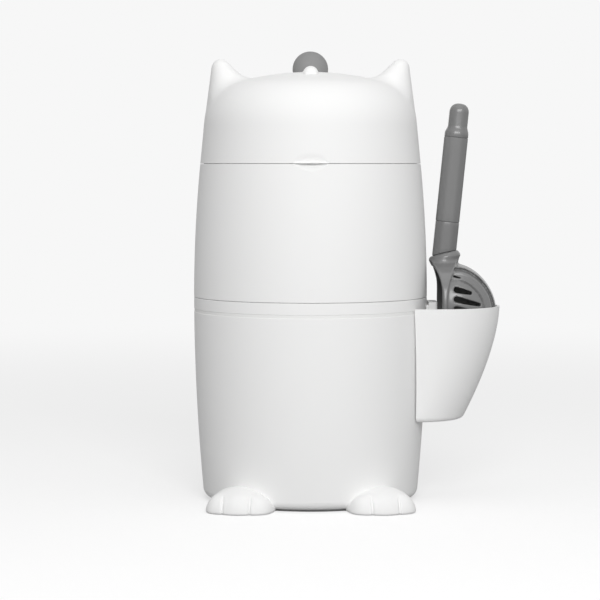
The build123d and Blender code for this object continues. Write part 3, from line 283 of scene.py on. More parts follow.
@dataclass(frozen=True)
class Steel:
    """Drawn steel of pins, screws and the blade, with fine lines along X.

    Attributes:
        slot: the record's slot it stands for.
        colour: linear base colour.
        roughness: mean roughness.
        line_scale: lines per metre across the grain.
    """

    slot: Slot = Slot.STEEL
    colour: tuple[float, float, float] = (0.698, 0.698, 0.698)
    roughness: float = 0.4
    line_scale: float = 1800.0

    @cache
    def material(self) -> bpy.types.Material:
        """Returns this finish as its slot's material, built once."""
        made, graph = cleared_material(self.slot.value)
        place = graph.add("ShaderNodeTexCoord").outputs["Object"]
        drawn = graph.add("ShaderNodeMapping", {"Vector": place, "Scale": (0.04, 1.0, 1.0)})
        lines = graph.add("ShaderNodeTexNoise", {"Vector": drawn.outputs[0],
                                                 "Scale": self.line_scale, "Detail": 2.0})
        rough = graph.add("ShaderNodeMapRange", {
            "Value": lines.outputs["Fac"], "To Min": self.roughness - 0.08,
            "To Max": self.roughness + 0.08})
        tint = graph.add("ShaderNodeMapRange", {"Value": lines.outputs["Fac"],
                                                "To Min": 0.96, "To Max": 1.04})
        colour = graph.add("ShaderNodeVectorMath", {0: self.colour, "Scale": tint.outputs[0]},
                           operation="SCALE")
        bump = graph.add("ShaderNodeBump", {"Height": lines.outputs["Fac"],
                                            "Distance": 0.005 * MM})
        surface = graph.add("ShaderNodeBsdfPrincipled", {
            "Base Color": colour.outputs[0], "Roughness": rough.outputs[0],
            "Normal": bump.outputs[0], "Metallic": 0.9, "IOR": 1.5})
        graph.add("ShaderNodeOutputMaterial", {"Surface": surface.outputs[0]})
        return made


SATIN_WHITE = Moulded(Slot.WHITE, (0.929, 0.929, 0.925), 0.7, mottle=0.008, pitch=0.45,
                      depth=0.003)
TRIM_WHITE = Moulded(Slot.TRIM, (0.902, 0.902, 0.894), 0.7, mottle=0.01, depth=0.004)
INNER_WHITE = Moulded(Slot.INNER, (0.878, 0.878, 0.871), 0.7, pitch=0.8, depth=0.008)
CASSETTE_GRAY = Moulded(Slot.CASSETTE, (0.749, 0.769, 0.78), 0.7, depth=0.008)
FILM = Moulded(Slot.FILM, (0.8, 0.859, 0.902), 0.7, mottle=0.03, spread=0.08, pitch=1.6,
               depth=0.02)
GRIPPER_GRAY = Moulded(Slot.GRIPPER, (0.451, 0.471, 0.478), 0.85, mottle=0.04, depth=0.01)
FOOT_RUBBER = Moulded(Slot.RUBBER, (0.298, 0.298, 0.298), 0.85, mottle=0.06, pitch=0.35,
                      depth=0.01)
KNOB_GRAY = Moulded(Slot.KNOB, (0.271, 0.271, 0.271), 0.7, depth=0.004,
                    rubbed=(0.3, 0.3, 0.3))
SCOOP_GRAY = Moulded(Slot.SCOOP, (0.2, 0.2, 0.2), 0.25, spread=0.03, pitch=0.7, depth=0.002,
                     rubbed=(0.22, 0.22, 0.22))
GRIP_GRAY = Moulded(Slot.GRIP, (0.212, 0.212, 0.212), 0.7, depth=0.005,
                    rubbed=(0.23, 0.23, 0.23))
PLAIN_STEEL = Steel()
FINISHES = {finish.slot: finish for finish in (
    SATIN_WHITE, TRIM_WHITE, INNER_WHITE, CASSETTE_GRAY, FILM, GRIPPER_GRAY, FOOT_RUBBER,
    KNOB_GRAY, SCOOP_GRAY, GRIP_GRAY, PLAIN_STEEL)}


# ---------------------------------------------------------------------------- forms
def soft_min(first: Points, second: Points, reach: float | Points) -> Points:
    """Joins two distance fields with a soft valley of the given reach."""
    mix = np.clip(0.5 + 0.5 * (second - first) / reach, 0, 1)
    return second + (first - second) * mix - reach * mix * (1 - mix)


def soft_max(first: Points, second: Points, reach: float | Points) -> Points:
    """Keeps what two distance fields share, with a soft edge of the given reach."""
    return -soft_min(-first, -second, reach)


def round_corner(first: Points, second: Points, radius: float, power: float = 2.0) -> Points:
    """Keeps what two distance fields share, with an edge rounded to a radius.

    A power above 2 lets the curvature set in softly.
    """
    outside = (np.maximum(first + radius, 0) ** power
               + np.maximum(second + radius, 0) ** power) ** (1 / power)
    return np.minimum(np.maximum(first, second), -radius) + outside


def smooth_step(value: Points, start: float, end: float) -> Points:
    """Rises smoothly from 0 at start to 1 at end."""
    share = np.clip((value - start) / (end - start), 0, 1)
    return share * share * (3 - 2 * share)


def cone_field(points: Points, foot: Sequence[float], tip: Sequence[float],
               foot_radius: float, tip_radius: float) -> Points:
    """Distance to the hull of two spheres.

    Args:
        points: where to measure, one row each.
        foot: centre of the first sphere.
        tip: centre of the second sphere.
        foot_radius: radius of the first sphere.
        tip_radius: radius of the second sphere.

    Returns:
        The signed distance at each point.
    """
    foot, tip = np.asarray(foot, float), np.asarray(tip, float)
    length = float(np.linalg.norm(tip - foot))
    along = (points - foot) @ (tip - foot) / length
    across = np.sqrt(np.maximum(((points - foot) ** 2).sum(1) - along ** 2, 0))
    narrowing = foot_radius - tip_radius
    slant = sqrt(length ** 2 - narrowing ** 2)
    shift = along - across * narrowing / slant
    side = (across * slant + along * narrowing) / length - foot_radius
    foot_gap = np.hypot(across, along) - foot_radius
    tip_gap = np.hypot(across, along - length) - tip_radius
    return np.select([shift < 0, shift > length], [foot_gap, tip_gap], side)


def ellipsoid_field(points: Points, centre: Sequence[float], radii: Sequence[float]) -> Points:
    """Approximate signed distance to an ellipsoid."""
    scaled = (points - np.asarray(centre)) / np.asarray(radii)
    reach = np.linalg.norm(scaled, axis=1)
    slope = np.linalg.norm(scaled / np.asarray(radii), axis=1)
    return reach * (reach - 1) / np.maximum(slope, 1e-9)


def gradient(shape: Field, points: Points, step: float = 0.02) -> Points:
    """Central differences of a field at points."""
    slopes = np.empty_like(points)
    for axis in range(3):
        offset = np.zeros(3)
        offset[axis] = step
        slopes[:, axis] = (shape(points + offset) - shape(points - offset)) / (2 * step)
    return slopes


def drawn_on(shape: Field, points: Points, limit: float, rounds: int = 3) -> Points:
    """Moves points onto the zero level of a field, each round by at most a limit."""
    for _ in range(rounds):
        slope = gradient(shape, points)
        square = np.maximum((slope ** 2).sum(1), 0.05)
        move = -(shape(points) / square)[:, None] * slope
        size = np.linalg.norm(move, axis=1, keepdims=True)
        points = points + move * np.minimum(1, limit / np.maximum(size, 1e-9))
    return points


def skin_over(shape: Field, low: Sequence[float], high: Sequence[float], cell: float,
              relax: int = 3) -> tuple[Points, Points]:
    """Wraps a field's zero level in quads, one corner to each grid cell that it crosses.

    Args:
        shape: the field, negative inside.
        low: lowest corner of the grid.
        high: highest corner of the grid.
        cell: the grid's pitch.
        relax: rounds of evening out.

    Returns:
        The corners and the quads.
    """
    low = np.asarray(low, float)
    counts = np.ceil((np.asarray(high, float) - low) / cell).astype(int) + 1
    axes = [low[axis] + cell * np.arange(counts[axis]) for axis in range(3)]
    grid = np.stack(np.meshgrid(*axes, indexing="ij"), axis=-1).reshape(-1, 3)
    values = shape(grid).reshape(counts)
    cells = counts - 1
    total = np.zeros((*cells, 3))
    hits = np.zeros(cells)
    for axis in range(3):
        others = [other for other in range(3) if other != axis]
        for first in (0, 1):
            for second in (0, 1):
                start = np.zeros(3, int)
                start[others[0]], start[others[1]] = first, second
                end = start.copy()
                end[axis] = 1
                near = values[tuple(slice(s, s + c) for s, c in zip(start, cells))]
                far = values[tuple(slice(s, s + c) for s, c in zip(end, cells))]
                crossed = (near < 0) != (far < 0)
                share = near[crossed] / (near[crossed] - far[crossed])
                total[crossed] += start + share[:, None] * (end - start)
                hits += crossed
    used = hits > 0
    number = np.full(cells, -1)
    number[used] = np.arange(used.sum())
    corners = low + cell * (np.argwhere(used) + total[used] / hits[used][:, None])
    quads = []
    for axis in range(3):
        others = [(axis + 1) % 3, (axis + 2) % 3]
        span = [slice(1, int(c)) for c in cells]
        span[axis] = slice(0, int(cells[axis]))
        ahead = list(span)
        ahead[axis] = slice(1, int(cells[axis]) + 1)
        near, far = values[tuple(span)], values[tuple(ahead)]
        around = []
        for back in ((1, 1), (0, 1), (0, 0), (1, 0)):
            at = list(span)
            for other, step in zip(others, back):
                at[other] = slice(1 - step, int(cells[other]) - step)
            around.append(number[tuple(at)])
        rising, falling = (near < 0) & (far >= 0), (near >= 0) & (far < 0)
        quads.append(np.stack([ring[rising] for ring in around], -1))
        quads.append(np.stack([ring[falling] for ring in around[::-1]], -1))
    faces = np.concatenate(quads)
    corners = drawn_on(shape, corners, cell)
    for _ in range(relax):
        corners = drawn_on(shape, evened(corners, faces), cell, rounds=1)
    return drawn_on(shape, corners, cell, rounds=1), faces


def evened(corners: Points, faces: Points) -> Points:
    """Moves each corner half way to the mean of its neighbours."""
    count = np.zeros(len(corners))
    total = np.zeros_like(corners)
    for turn in range(4):
        start, end = faces[:, turn], faces[:, (turn + 1) % 4]
        for here, there in ((start, end), (end, start)):
            count += np.bincount(here, minlength=len(corners))
            for axis in range(3):
                total[:, axis] += np.bincount(here, weights=corners[there, axis],
                                              minlength=len(corners))
    return 0.5 * corners + 0.5 * total / np.maximum(count, 1)[:, None]


def ring_faces(rows: int, columns: int, closed: bool) -> Points:
    """Quads between rings of corners, each ring closed, and the rows too where asked."""
    row = np.arange(rows if closed else rows - 1)[:, None]
    column = np.arange(columns)[None, :]
    beside, above = (column + 1) % columns, (row + 1) % rows
    return np.stack([row * columns + column, row * columns + beside,
                     above * columns + beside, above * columns + column], -1).reshape(-1, 4)


def turned(profile: Sequence[tuple[float, float]], columns: int = 288) -> tuple[Points, Points]:
    """Turns a closed profile of (radius, height) corners round the pail's axis."""
    angles = np.linspace(0, 2 * pi, columns, endpoint=False)
    rings = [np.stack([r * np.cos(angles), r * np.sin(angles), np.full(columns, z)], -1)
             for r, z in profile]
    return np.concatenate(rings), ring_faces(len(profile), columns, closed=True)


def joined(*parts: tuple[Points, Points]) -> tuple[Points, Points]:
    """Puts several closed forms of quads into one."""
    starts = np.cumsum([0] + [len(corners) for corners, _ in parts[:-1]])
    return (np.concatenate([corners for corners, _ in parts]),
            np.concatenate([faces + start for (_, faces), start in zip(parts, starts)]))


def make_piece(name: str, corners: Points, faces: Points | Sequence[Sequence[int]],
               finish: Moulded | Steel, body: Body, replaces: Sequence[str] = (),
               sharp: float = 40.0) -> bpy.types.Object:
    """Turns corners and faces into a finished piece that rides on a body.

    Args:
        name: the piece's name.
        corners: corner places in millimetres.
        faces: corner numbers of each face.
        finish: what it is made of.
        body: the body it rides on.
        replaces: CAD nodes it stands for.
        sharp: faces that meet at more than this angle keep a crisp edge, in degrees.

    Returns:
        The new object.
    """
    mesh = bpy.data.meshes.new(name)
    mesh.from_pydata((np.asarray(corners) * MM).tolist(), [], np.asarray(faces).tolist())
    work = bmesh.new()
    work.from_mesh(mesh)
    bmesh.ops.remove_doubles(work, verts=work.verts, dist=1e-7)
    bmesh.ops.dissolve_degenerate(work, edges=work.edges, dist=1e-8)
    bmesh.ops.recalc_face_normals(work, faces=work.faces)
    if work.calc_volume(signed=True) < 0:
        bmesh.ops.reverse_faces(work, faces=work.faces)
    work.to_mesh(mesh)
    work.free()
    mesh.shade_smooth()
    mesh.set_sharp_from_angle(angle=radians(sharp))
    made = bpy.data.objects.new(name, mesh)
    bpy.context.scene.collection.objects.link(made)
    mesh.materials.append(finish.material())
    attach(made, body.value)
    if replaces:
        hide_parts(*replaces)
    LOG.info("%s: %d corners", name, len(mesh.vertices))
    return made


# ---------------------------------------------------------------------------- the pail's form
@dataclass
class Flank:
    """The bowed flank that all the shells share.

    Attributes:
        widest: outer radius at the seam between the band and the upper housing.
        seam: height of that seam.
        lid_seam: height of the lid's seam.
        base_taper: radius lost from the widest seam down to the floor.
        top_taper: radius lost from the widest seam up to the lid's seam.
    """

    widest: float = 116.0
    seam: float = 201.3
    lid_seam: float = 333.2
    base_taper: float = 9.7
    top_taper: float = 6.5

    @property
    def lean(self) -> float:
        """How much radius the lid's straight wall loses for each millimetre of height."""
        return 2 * self.top_taper / (self.lid_seam - self.seam)

    def radius(self, height: Points) -> Points:
        """Outer radius of the flank at a height."""
        height = np.asarray(height, float)
        below = self.widest - self.base_taper * ((self.seam - height) / self.seam) ** 2
        share = (height - self.seam) / (self.lid_seam - self.seam)
        above = self.widest - self.top_taper * share ** 2
        lid = self.widest - self.top_taper - self.lean * (height - self.lid_seam)
        return np.where(height <= self.seam, below, np.where(height <= self.lid_seam, above, lid))


@dataclass
class Lid:
    """The domed lid with its two ears, the dished finger lip, the seal's rib and the knuckle.

    Attributes:
        flank: the flank its wall goes on from.
        top: height of the dome's top.
        gap: how far its lower edge stands above the seam.
        wall: thickness of the shell.
        dome_radius: radius of the dome.
        shoulder, shoulder_power: rounding between wall and dome, and how softly it sets in.
        hole: radius of the opening for the turning cap.
        tube_wall, tube_low: the bearing tube under that opening.
        ear_tip: centre of the small ball in the ear's tip, as x and z.
        ear_tip_radius: radius of that ball.
        ear_foot: centre of the ball at the ear's root, as x and z.
        ear_foot_radius: radius of that ball.
        ear_blend, ear_seam: reach of the soft valley between ear and dome where they cross, and
            where they run alike.
        ear_crossing: how far their directions differ where the valley has its full reach.
        lip_half: half the lip's width.
        lip_rise: height of the lip's edge at its middle.
        dish_rise: height of the dish over the lip.
        dish_depth: how deep it goes.
        lip_proud: how far the lip stands out of the wall.
        row_steps: pitch of the rows above the seam, each up to a height above it.
        row_pitch: their pitch further up.
        ray_turn: radius and height round which the sampling rays turn, and their elevation in
            degrees where they start to move inwards.
        ray_length: the longest ray.
        front_half, front_columns: half angle, in radians, and corners of the finer front.
        bevel: the small bevel along the seam and round the hole.
        rim_radius, rim_top: the housing's rim, which the lid's inside stays clear of.
        rib_outer, rib_width, rib_height, rib_edge, web: the rib that presses on the seal.
        pin: the hinge pin's axis, as y and z.
        knuckle_radius, knuckle_bore, knuckle_half: the knuckle's radius, the radius of its bore,
            and half its length.
        arm, arm_root: heights above the seam where the knuckle's arm meets the wall, and how
            deep its root lies in the wall.
        knuckle_columns, columns: corners round the knuckle and round the shell.
    """

    flank: Flank = field(default_factory=Flank)
    top: float = 424.0
    gap: float = 0.4
    wall: float = 2.5
    dome_radius: float = 275.0
    shoulder: float = 30.0
    shoulder_power: float = 2.4
    hole: float = 49.5
    tube_wall: float = 2.5
    tube_low: float = 412.7
    ear_tip: tuple[float, float] = (89.0, 427.6)
    ear_tip_radius: float = 9.2
    ear_foot: tuple[float, float] = (73.5, 384.5)
    ear_foot_radius: float = 30.2
    ear_blend: float = 9.0
    ear_seam: float = 0.5
    ear_crossing: float = 0.18
    lip_half: float = 16.8
    lip_rise: float = 1.9
    dish_rise: float = 9.5
    dish_depth: float = 2.8
    lip_proud: float = 2.6
    row_steps: tuple[tuple[float, float], ...] = ((4.0, 0.3), (16.0, 0.7))
    row_pitch: float = 2.2
    ray_turn: tuple[float, float, float] = (70.0, 372.0, 72.0)
    ray_length: float = 130.0
    front_half: float = 0.2
    front_columns: int = 45
    bevel: float = 0.35
    rim_radius: float = 106.2
    rim_top: float = 339.0
    rib_outer: float = 102.4
    rib_width: float = 2.3
    rib_height: float = 8.5
    rib_edge: float = 0.4
    web: float = 2.0
    pin: tuple[float, float] = (115.7, 333.2)
    knuckle_radius: float = 5.0
    knuckle_bore: float = 2.3
    knuckle_half: float = 21.5
    knuckle_columns: int = 96
    arm: tuple[float, float] = (8.0, 20.0)
    arm_root: float = 2.0
    columns: int = 360

    def dome(self, points: Points) -> Points:
        """Signed distance to the lid without its ears."""
        across = np.hypot(points[:, 0], points[:, 1])
        height = points[:, 2]
        lean = self.flank.lean
        wall = across - self.flank.radius(np.maximum(height, self.flank.lid_seam))
        wall = wall / sqrt(1 + lean ** 2)
        dome = np.hypot(across, height - (self.top - self.dome_radius)) - self.dome_radius
        return round_corner(wall, dome, self.shoulder, self.shoulder_power)

    def ears(self, points: Points) -> Points:
        """Signed distance to the two ears."""
        mirrored = points * np.where(points[:, :1] < 0, -1, 1) ** np.array([1, 0, 0])
        return cone_field(mirrored, (self.ear_foot[0], 0, self.ear_foot[1]),
                          (self.ear_tip[0], 0, self.ear_tip[1]),
                          self.ear_foot_radius, self.ear_tip_radius)

    def valley(self, points: Points) -> Points:
        """Reach of the soft valley: wide where ear and dome cross, small where they run alike."""
        first, second = gradient(self.dome, points), gradient(self.ears, points)
        first /= np.linalg.norm(first, axis=1, keepdims=True)
        second /= np.linalg.norm(second, axis=1, keepdims=True)
        crossing = np.clip((1 - (first * second).sum(1)) / self.ear_crossing, 0, 1)
        return np.maximum(self.ear_seam, self.ear_blend * crossing)

    def dish(self, points: Points) -> Points:
        """How far the wall goes in over the finger lip, and out at the lip, at each point."""
        side = np.clip(1 - (points[:, 0] / self.lip_half) ** 2, 0, 1) ** 0.5
        side = np.where(points[:, 1] < 0, side, 0)
        lip = self.flank.lid_seam + self.gap + self.lip_rise * side
        rise = points[:, 2] - lip
        share = np.clip(rise / np.maximum(self.dish_rise * side, 0.5), 0, 1)
        over = np.clip(1 + rise / (self.lip_rise * side + 0.05), 0, 1)
        proud = self.lip_proud * side * smooth_step(side, 0.0, 0.5)
        return self.dish_depth * side ** 1.5 * (1 - share) ** 2 * over - proud * (1 - over)

    def rays(self) -> tuple[Points, Points, Points, Points]:
        """Starts, directions and insets of the rays that sample one column of the shell.

        Returns:
            Radius and height of each start, its elevation in radians, and how far inside the
            outer form its point lies.
        """
        low = self.flank.lid_seam + self.gap
        turn_radius, turn_height = self.ray_turn[:2]
        lean = radians(self.ray_turn[2])
        outer, start = [], 0.0
        for end, pitch in (*self.row_steps, (turn_height - low, self.row_pitch)):
            outer += [(0.0, low + rise, 0.0) for rise in np.arange(start, end, pitch)]
            start = end
        outer += [(turn_radius, turn_height, a) for a in np.linspace(0, lean, 64)]
        span = turn_radius - self.hole
        outer += [(r, turn_height, lean + (pi / 2 - lean) * (turn_radius - r) / span)
                  for r in np.linspace(turn_radius, self.hole, 34)[1:]]
        inner = [(r, turn_height, lean + (pi / 2 - lean) * (turn_radius - r)
                  / (turn_radius - self.hole - self.tube_wall))
                 for r in np.linspace(self.hole + self.tube_wall, turn_radius, 14)]
        inner += [(turn_radius, turn_height, a) for a in np.linspace(lean, 0, 30)[1:]]
        inner += [(0.0, z, 0.0) for z in np.linspace(turn_height, low, 22)[1:]]
        rays = np.array(outer + inner)
        insets = np.concatenate([np.zeros(len(outer)), np.full(len(inner), self.wall)])
        return rays[:, 0], rays[:, 1], rays[:, 2], insets

    def cast(self, origin: Points, heading: Points, level: Points, reach: Points) -> Points:
        """Finds where rays from inside meet the lid's form.

        Args:
            origin: where each ray starts.
            heading: its direction.
            level: how far inside the outer form it stops.
            reach: reach of the valley between ear and dome on it.

        Returns:
            The corner that each ray ends in.
        """
        near, far = np.full(len(origin), 1.0), np.full(len(origin), self.ray_length)
        for _ in range(24):
            middle = (near + far) / 2
            points = origin + heading * middle[:, None]
            inside = soft_min(self.dome(points), self.ears(points), reach) < -level
            near, far = np.where(inside, middle, near), np.where(inside, far, middle)
        return origin + heading * near[:, None]

    def shell(self) -> tuple[Points, Points]:
        """The lid's closed shell, ring by ring.

        Returns:
            Corners and faces.
        """
        start, height, rise, inset = self.rays()
        even = np.linspace(0, 2 * pi, self.columns, endpoint=False)
        front = np.linspace(-self.front_half, self.front_half, self.front_columns) - pi / 2
        front = front % (2 * pi)
        spare = np.abs((even + pi / 2 + pi) % (2 * pi) - pi) > 1.02 * self.front_half
        turns = np.sort(np.concatenate([even[spare], front]))
        out = np.stack([np.cos(turns), np.sin(turns)], -1)
        rows, columns = len(start), len(turns)
        origin = np.zeros((rows, columns, 3))
        origin[..., :2] = start[:, None, None] * out[None]
        origin[..., 2] = height[:, None]
        heading = np.zeros((rows, columns, 3))
        heading[..., :2] = np.cos(rise)[:, None, None] * out[None]
        heading[..., 2] = np.sin(rise)[:, None]
        origin, heading = origin.reshape(-1, 3), heading.reshape(-1, 3)
        level = np.repeat(inset, columns)
        corners = self.cast(origin, heading, level, np.full(len(origin), self.ear_seam))
        corners = self.cast(origin, heading, level, self.valley(corners))
        across = np.hypot(corners[:, 0], corners[:, 1])
        depth = self.dish(corners)
        spare_room = np.where(corners[:, 2] < self.rim_top, across - self.rim_radius, 1e3)
        inner = np.clip(depth, 0, np.maximum(spare_room, 0))
        depth = np.where(level > 0, inner, depth)
        corners[:, :2] *= (1 - depth / across)[:, None]
        grid = corners.reshape(rows, columns, 3)
        grid[0, :, :2] *= 1 - self.bevel / self.flank.radius(self.flank.lid_seam)
        split = int((inset == 0).sum())
        edge = grid[split - 1].copy()
        grid[split - 1, :, :2] *= 1 + self.bevel / self.hole
        rim, low_rim, wide_rim = (edge.copy() for _ in range(3))
        rim[:, 2] -= self.bevel
        low_rim[:, 2] = self.tube_low
        wide_rim[:, 2] = self.tube_low
        wide_rim[:, :2] *= (self.hole + self.tube_wall) / self.hole
        grid = np.concatenate([grid[:split], rim[None], low_rim[None], wide_rim[None],
                               grid[split:]])
        return grid.reshape(-1, 3), ring_faces(len(grid), columns, closed=True)

    def seal_rib(self) -> tuple[Points, Points]:
        """The rib that presses on the seal, with the web that carries it on the wall."""
        low = self.flank.lid_seam + self.gap
        high = low + self.rib_height
        inner = self.rib_outer - self.rib_width
        root = float(self.flank.radius(high)) - self.wall / 2
        edge = self.rib_edge
        return turned([(inner + edge, low), (self.rib_outer - edge, low),
                       (self.rib_outer, low + edge), (self.rib_outer, high), (root, high),
                       (root, high + self.web), (inner, high + self.web), (inner, low + edge)])

    def knuckle(self) -> tuple[Points, Points]:
        """The hinge knuckle with its arm, bored for the pin."""
        pin_y, pin_z = self.pin
        columns = self.knuckle_columns
        wall_y = float(self.flank.radius(self.flank.lid_seam)) - self.arm_root
        turns = np.linspace(0, 2 * pi, columns, endpoint=False)
        facing = np.stack([np.cos(turns), np.sin(turns)], -1)
        places = (np.array(self.pin) + self.knuckle_radius * facing).tolist()
        places += [(wall_y, self.flank.lid_seam + rise) for rise in self.arm]
        away = np.array(places) - np.array(self.pin)
        hull = np.full(columns, np.inf)
        for number, aim in enumerate(facing):
            normals = facing[facing @ aim > 0.01]
            hull[number] = ((away @ normals.T).max(0) / (normals @ aim)).min()
        bore = np.full(columns, self.knuckle_bore)
        rings = []
        for side, radii in ((-1, hull), (1, hull), (1, bore), (-1, bore)):
            rings.append(np.stack([np.full(columns, side * self.knuckle_half),
                                   pin_y + radii * facing[:, 0],
                                   pin_z + radii * facing[:, 1]], -1))
        return np.concatenate(rings), ring_faces(len(rings), columns, closed=True)

    def build(self) -> None:
        """Makes the shell with its rib and knuckle."""
        corners, faces = joined(self.shell(), self.seal_rib(), self.knuckle())
        make_piece("lid_dome", corners, faces, SATIN_WHITE, Body.LID, ["lid_shell"], sharp=50)


# ---------------------------------------------------------------------------- paws
@dataclass
class Paws:
    """The two paws: round mounds with three toes parted by two soft grooves.

    Attributes:
        flank: the flank that they stand against.
        centre: the mound's centre from the pail's axis, as x and y, of the right paw.
        turn: how far the paw turns outwards, in degrees.
        mound, mound_shift: radii of the mound, and how far outwards its middle lies.
        lobe, lobe_shift: the same of the lower lobe on its inner side.
        lobe_blend: reach of the valley between the two.
        toe_radii: radii of an outer toe and of the middle toe.
        toe_heights: their heights.
        toes: toe centres from the mound's centre, across and forwards.
        groove_spread: grooves from the paw's middle line.
        groove_depth, groove_width: their depth and half width.
        groove_top: height where they fade out.
        sole_round: rounding along the sole.
        blend: reach of the valleys between toes and mound.
        sunk: how deep its back sinks into the pail's wall.
        pail_low, pail_round: height of the pail's lowest edge, and the rounding over it.
        cell: pitch of the grid that the form is wrapped on.
    """

    flank: Flank = field(default_factory=Flank)
    centre: tuple[float, float] = (67.4, -92.0)
    turn: float = 9.0
    mound: tuple[float, float, float] = (28.5, 30.0, 23.3)
    mound_shift: float = 3.4
    lobe: tuple[float, float, float] = (26.5, 28.0, 19.5)
    lobe_shift: float = -7.5
    lobe_blend: float = 5.0
    toe_radii: tuple[float, float] = (13.0, 13.5)
    toe_heights: tuple[float, float] = (16.5, 17.5)
    toes: tuple[tuple[float, float], ...] = ((-18.0, 13.5), (0.0, 16.5), (18.0, 13.5))
    groove_spread: float = 13.1
    groove_depth: float = 1.9
    groove_width: float = 1.1
    groove_top: float = 19.5
    sole_round: float = 2.5
    blend: float = 6.0
    sunk: float = 1.0
    pail_low: float = 2.0
    pail_round: float = 9.0
    cell: float = 0.7

    def form(self, points: Points) -> Points:
        """Signed distance to the right paw."""
        angle = radians(self.turn)
        right = np.array([cos(angle), sin(angle), 0])
        ahead = np.array([sin(angle), -cos(angle), 0])
        away = points - np.array([*self.centre, 0])
        local = np.stack([away @ right, away @ ahead, points[:, 2]], -1)
        body = soft_min(ellipsoid_field(local, (self.mound_shift, 0, 0), self.mound),
                        ellipsoid_field(local, (self.lobe_shift, 0, 0), self.lobe),
                        self.lobe_blend)
        for across, forward in self.toes:
            middle = int(across == 0)
            radius, height = self.toe_radii[middle], self.toe_heights[middle]
            toe = ellipsoid_field(local, (across, forward, 0), (radius, radius, height))
            body = soft_min(body, toe, self.blend)
        reach = np.abs(np.abs(local[:, 0]) - self.groove_spread)
        height = 1 - smooth_step(local[:, 2], 0.5 * self.groove_top, self.groove_top)
        front = smooth_step(local[:, 1], 8, 18)
        groove = self.groove_depth * np.exp(-(reach / self.groove_width) ** 2)
        body = body + groove * height * front
        body = round_corner(body, -points[:, 2], self.sole_round)
        across = np.hypot(points[:, 0], points[:, 1])
        pail = round_corner(across - self.flank.radius(points[:, 2]),
                            self.pail_low - points[:, 2], self.pail_round)
        return soft_max(body, -self.sunk - pail, 0.8)

    def build(self) -> None:
        """Makes both paws, the left one mirrored from the right one."""
        x, y = self.centre
        corners, faces = skin_over(self.form, (x - 36, y - 38, -2), (x + 38, y + 32, 32),
                                   self.cell)
        make_piece("right_paw_form", corners, faces, SATIN_WHITE, Body.PAIL, ["right_paw"], 70)
        mirrored = corners * np.array([-1, 1, 1])
        make_piece("left_paw_form", mirrored, faces[:, ::-1], SATIN_WHITE, Body.PAIL,
                   ["left_paw"], 70)


# ---------------------------------------------------------------------------- turning cap
@dataclass
class TurningCap:
    """The grip bar on the turning cap, with its cuff round the gray ball.

    Attributes:
        dome_top, dome_radius: the dome that the cap follows.
        bar_radius: radius of the bar's round back.
        bar_top: height of its top.
        bar_front: its front end from the axis.
        ball_radius, ball_back, ball_height: the ball, and its centre behind and above.
        ball_gap: gap between the ball and the cuff round it.
        cuff_wall, cuff_top: wall and height of that cuff of the bar.
        cell: pitch of the grid that the form is wrapped on.
    """

    dome_top: float = 424.0
    dome_radius: float = 275.0
    bar_radius: float = 7.5
    bar_top: float = 428.4
    bar_front: float = 40.0
    ball_radius: float = 17.9
    ball_back: float = 30.0
    ball_height: float = 428.1
    ball_gap: float = 0.3
    cuff_wall: float = 2.0
    cuff_top: float = 424.3
    cell: float = 0.7

    def dome(self, points: Points) -> Points:
        """Signed distance to the cap's dome."""
        centre = (0, 0, self.dome_top - self.dome_radius)
        return np.linalg.norm(points - np.array(centre), axis=1) - self.dome_radius

    def bar(self, points: Points) -> Points:
        """Signed distance to the grip bar with its cuff."""
        spine = self.bar_top - self.bar_radius
        ridge = cone_field(points, (0, -self.bar_front, spine), (0, self.ball_back, spine),
                           self.bar_radius, self.bar_radius - 0.01)
        hub = np.array([0, self.ball_back, self.ball_height])
        away = np.linalg.norm(points - hub, axis=1)
        socket = self.ball_radius + self.ball_gap
        cuff = away - (socket + self.cuff_wall)
        cuff = round_corner(cuff, points[:, 2] - self.cuff_top, 0.8)
        form = soft_min(ridge, cuff, 4.0)
        form = round_corner(form, socket - away, 0.6)
        return soft_max(form, -self.dome(points) - 0.6, 0.3)

    def build(self) -> None:
        """Makes the bar."""
        reach = self.ball_radius + 4
        corners, faces = skin_over(self.bar, (-reach, -self.bar_front - 10, 408),
                                   (reach, self.ball_back + reach, self.bar_top + 2), self.cell)
        make_piece("grip_bar", corners, faces, SATIN_WHITE, Body.CAP, ["tail_grip"], 70)


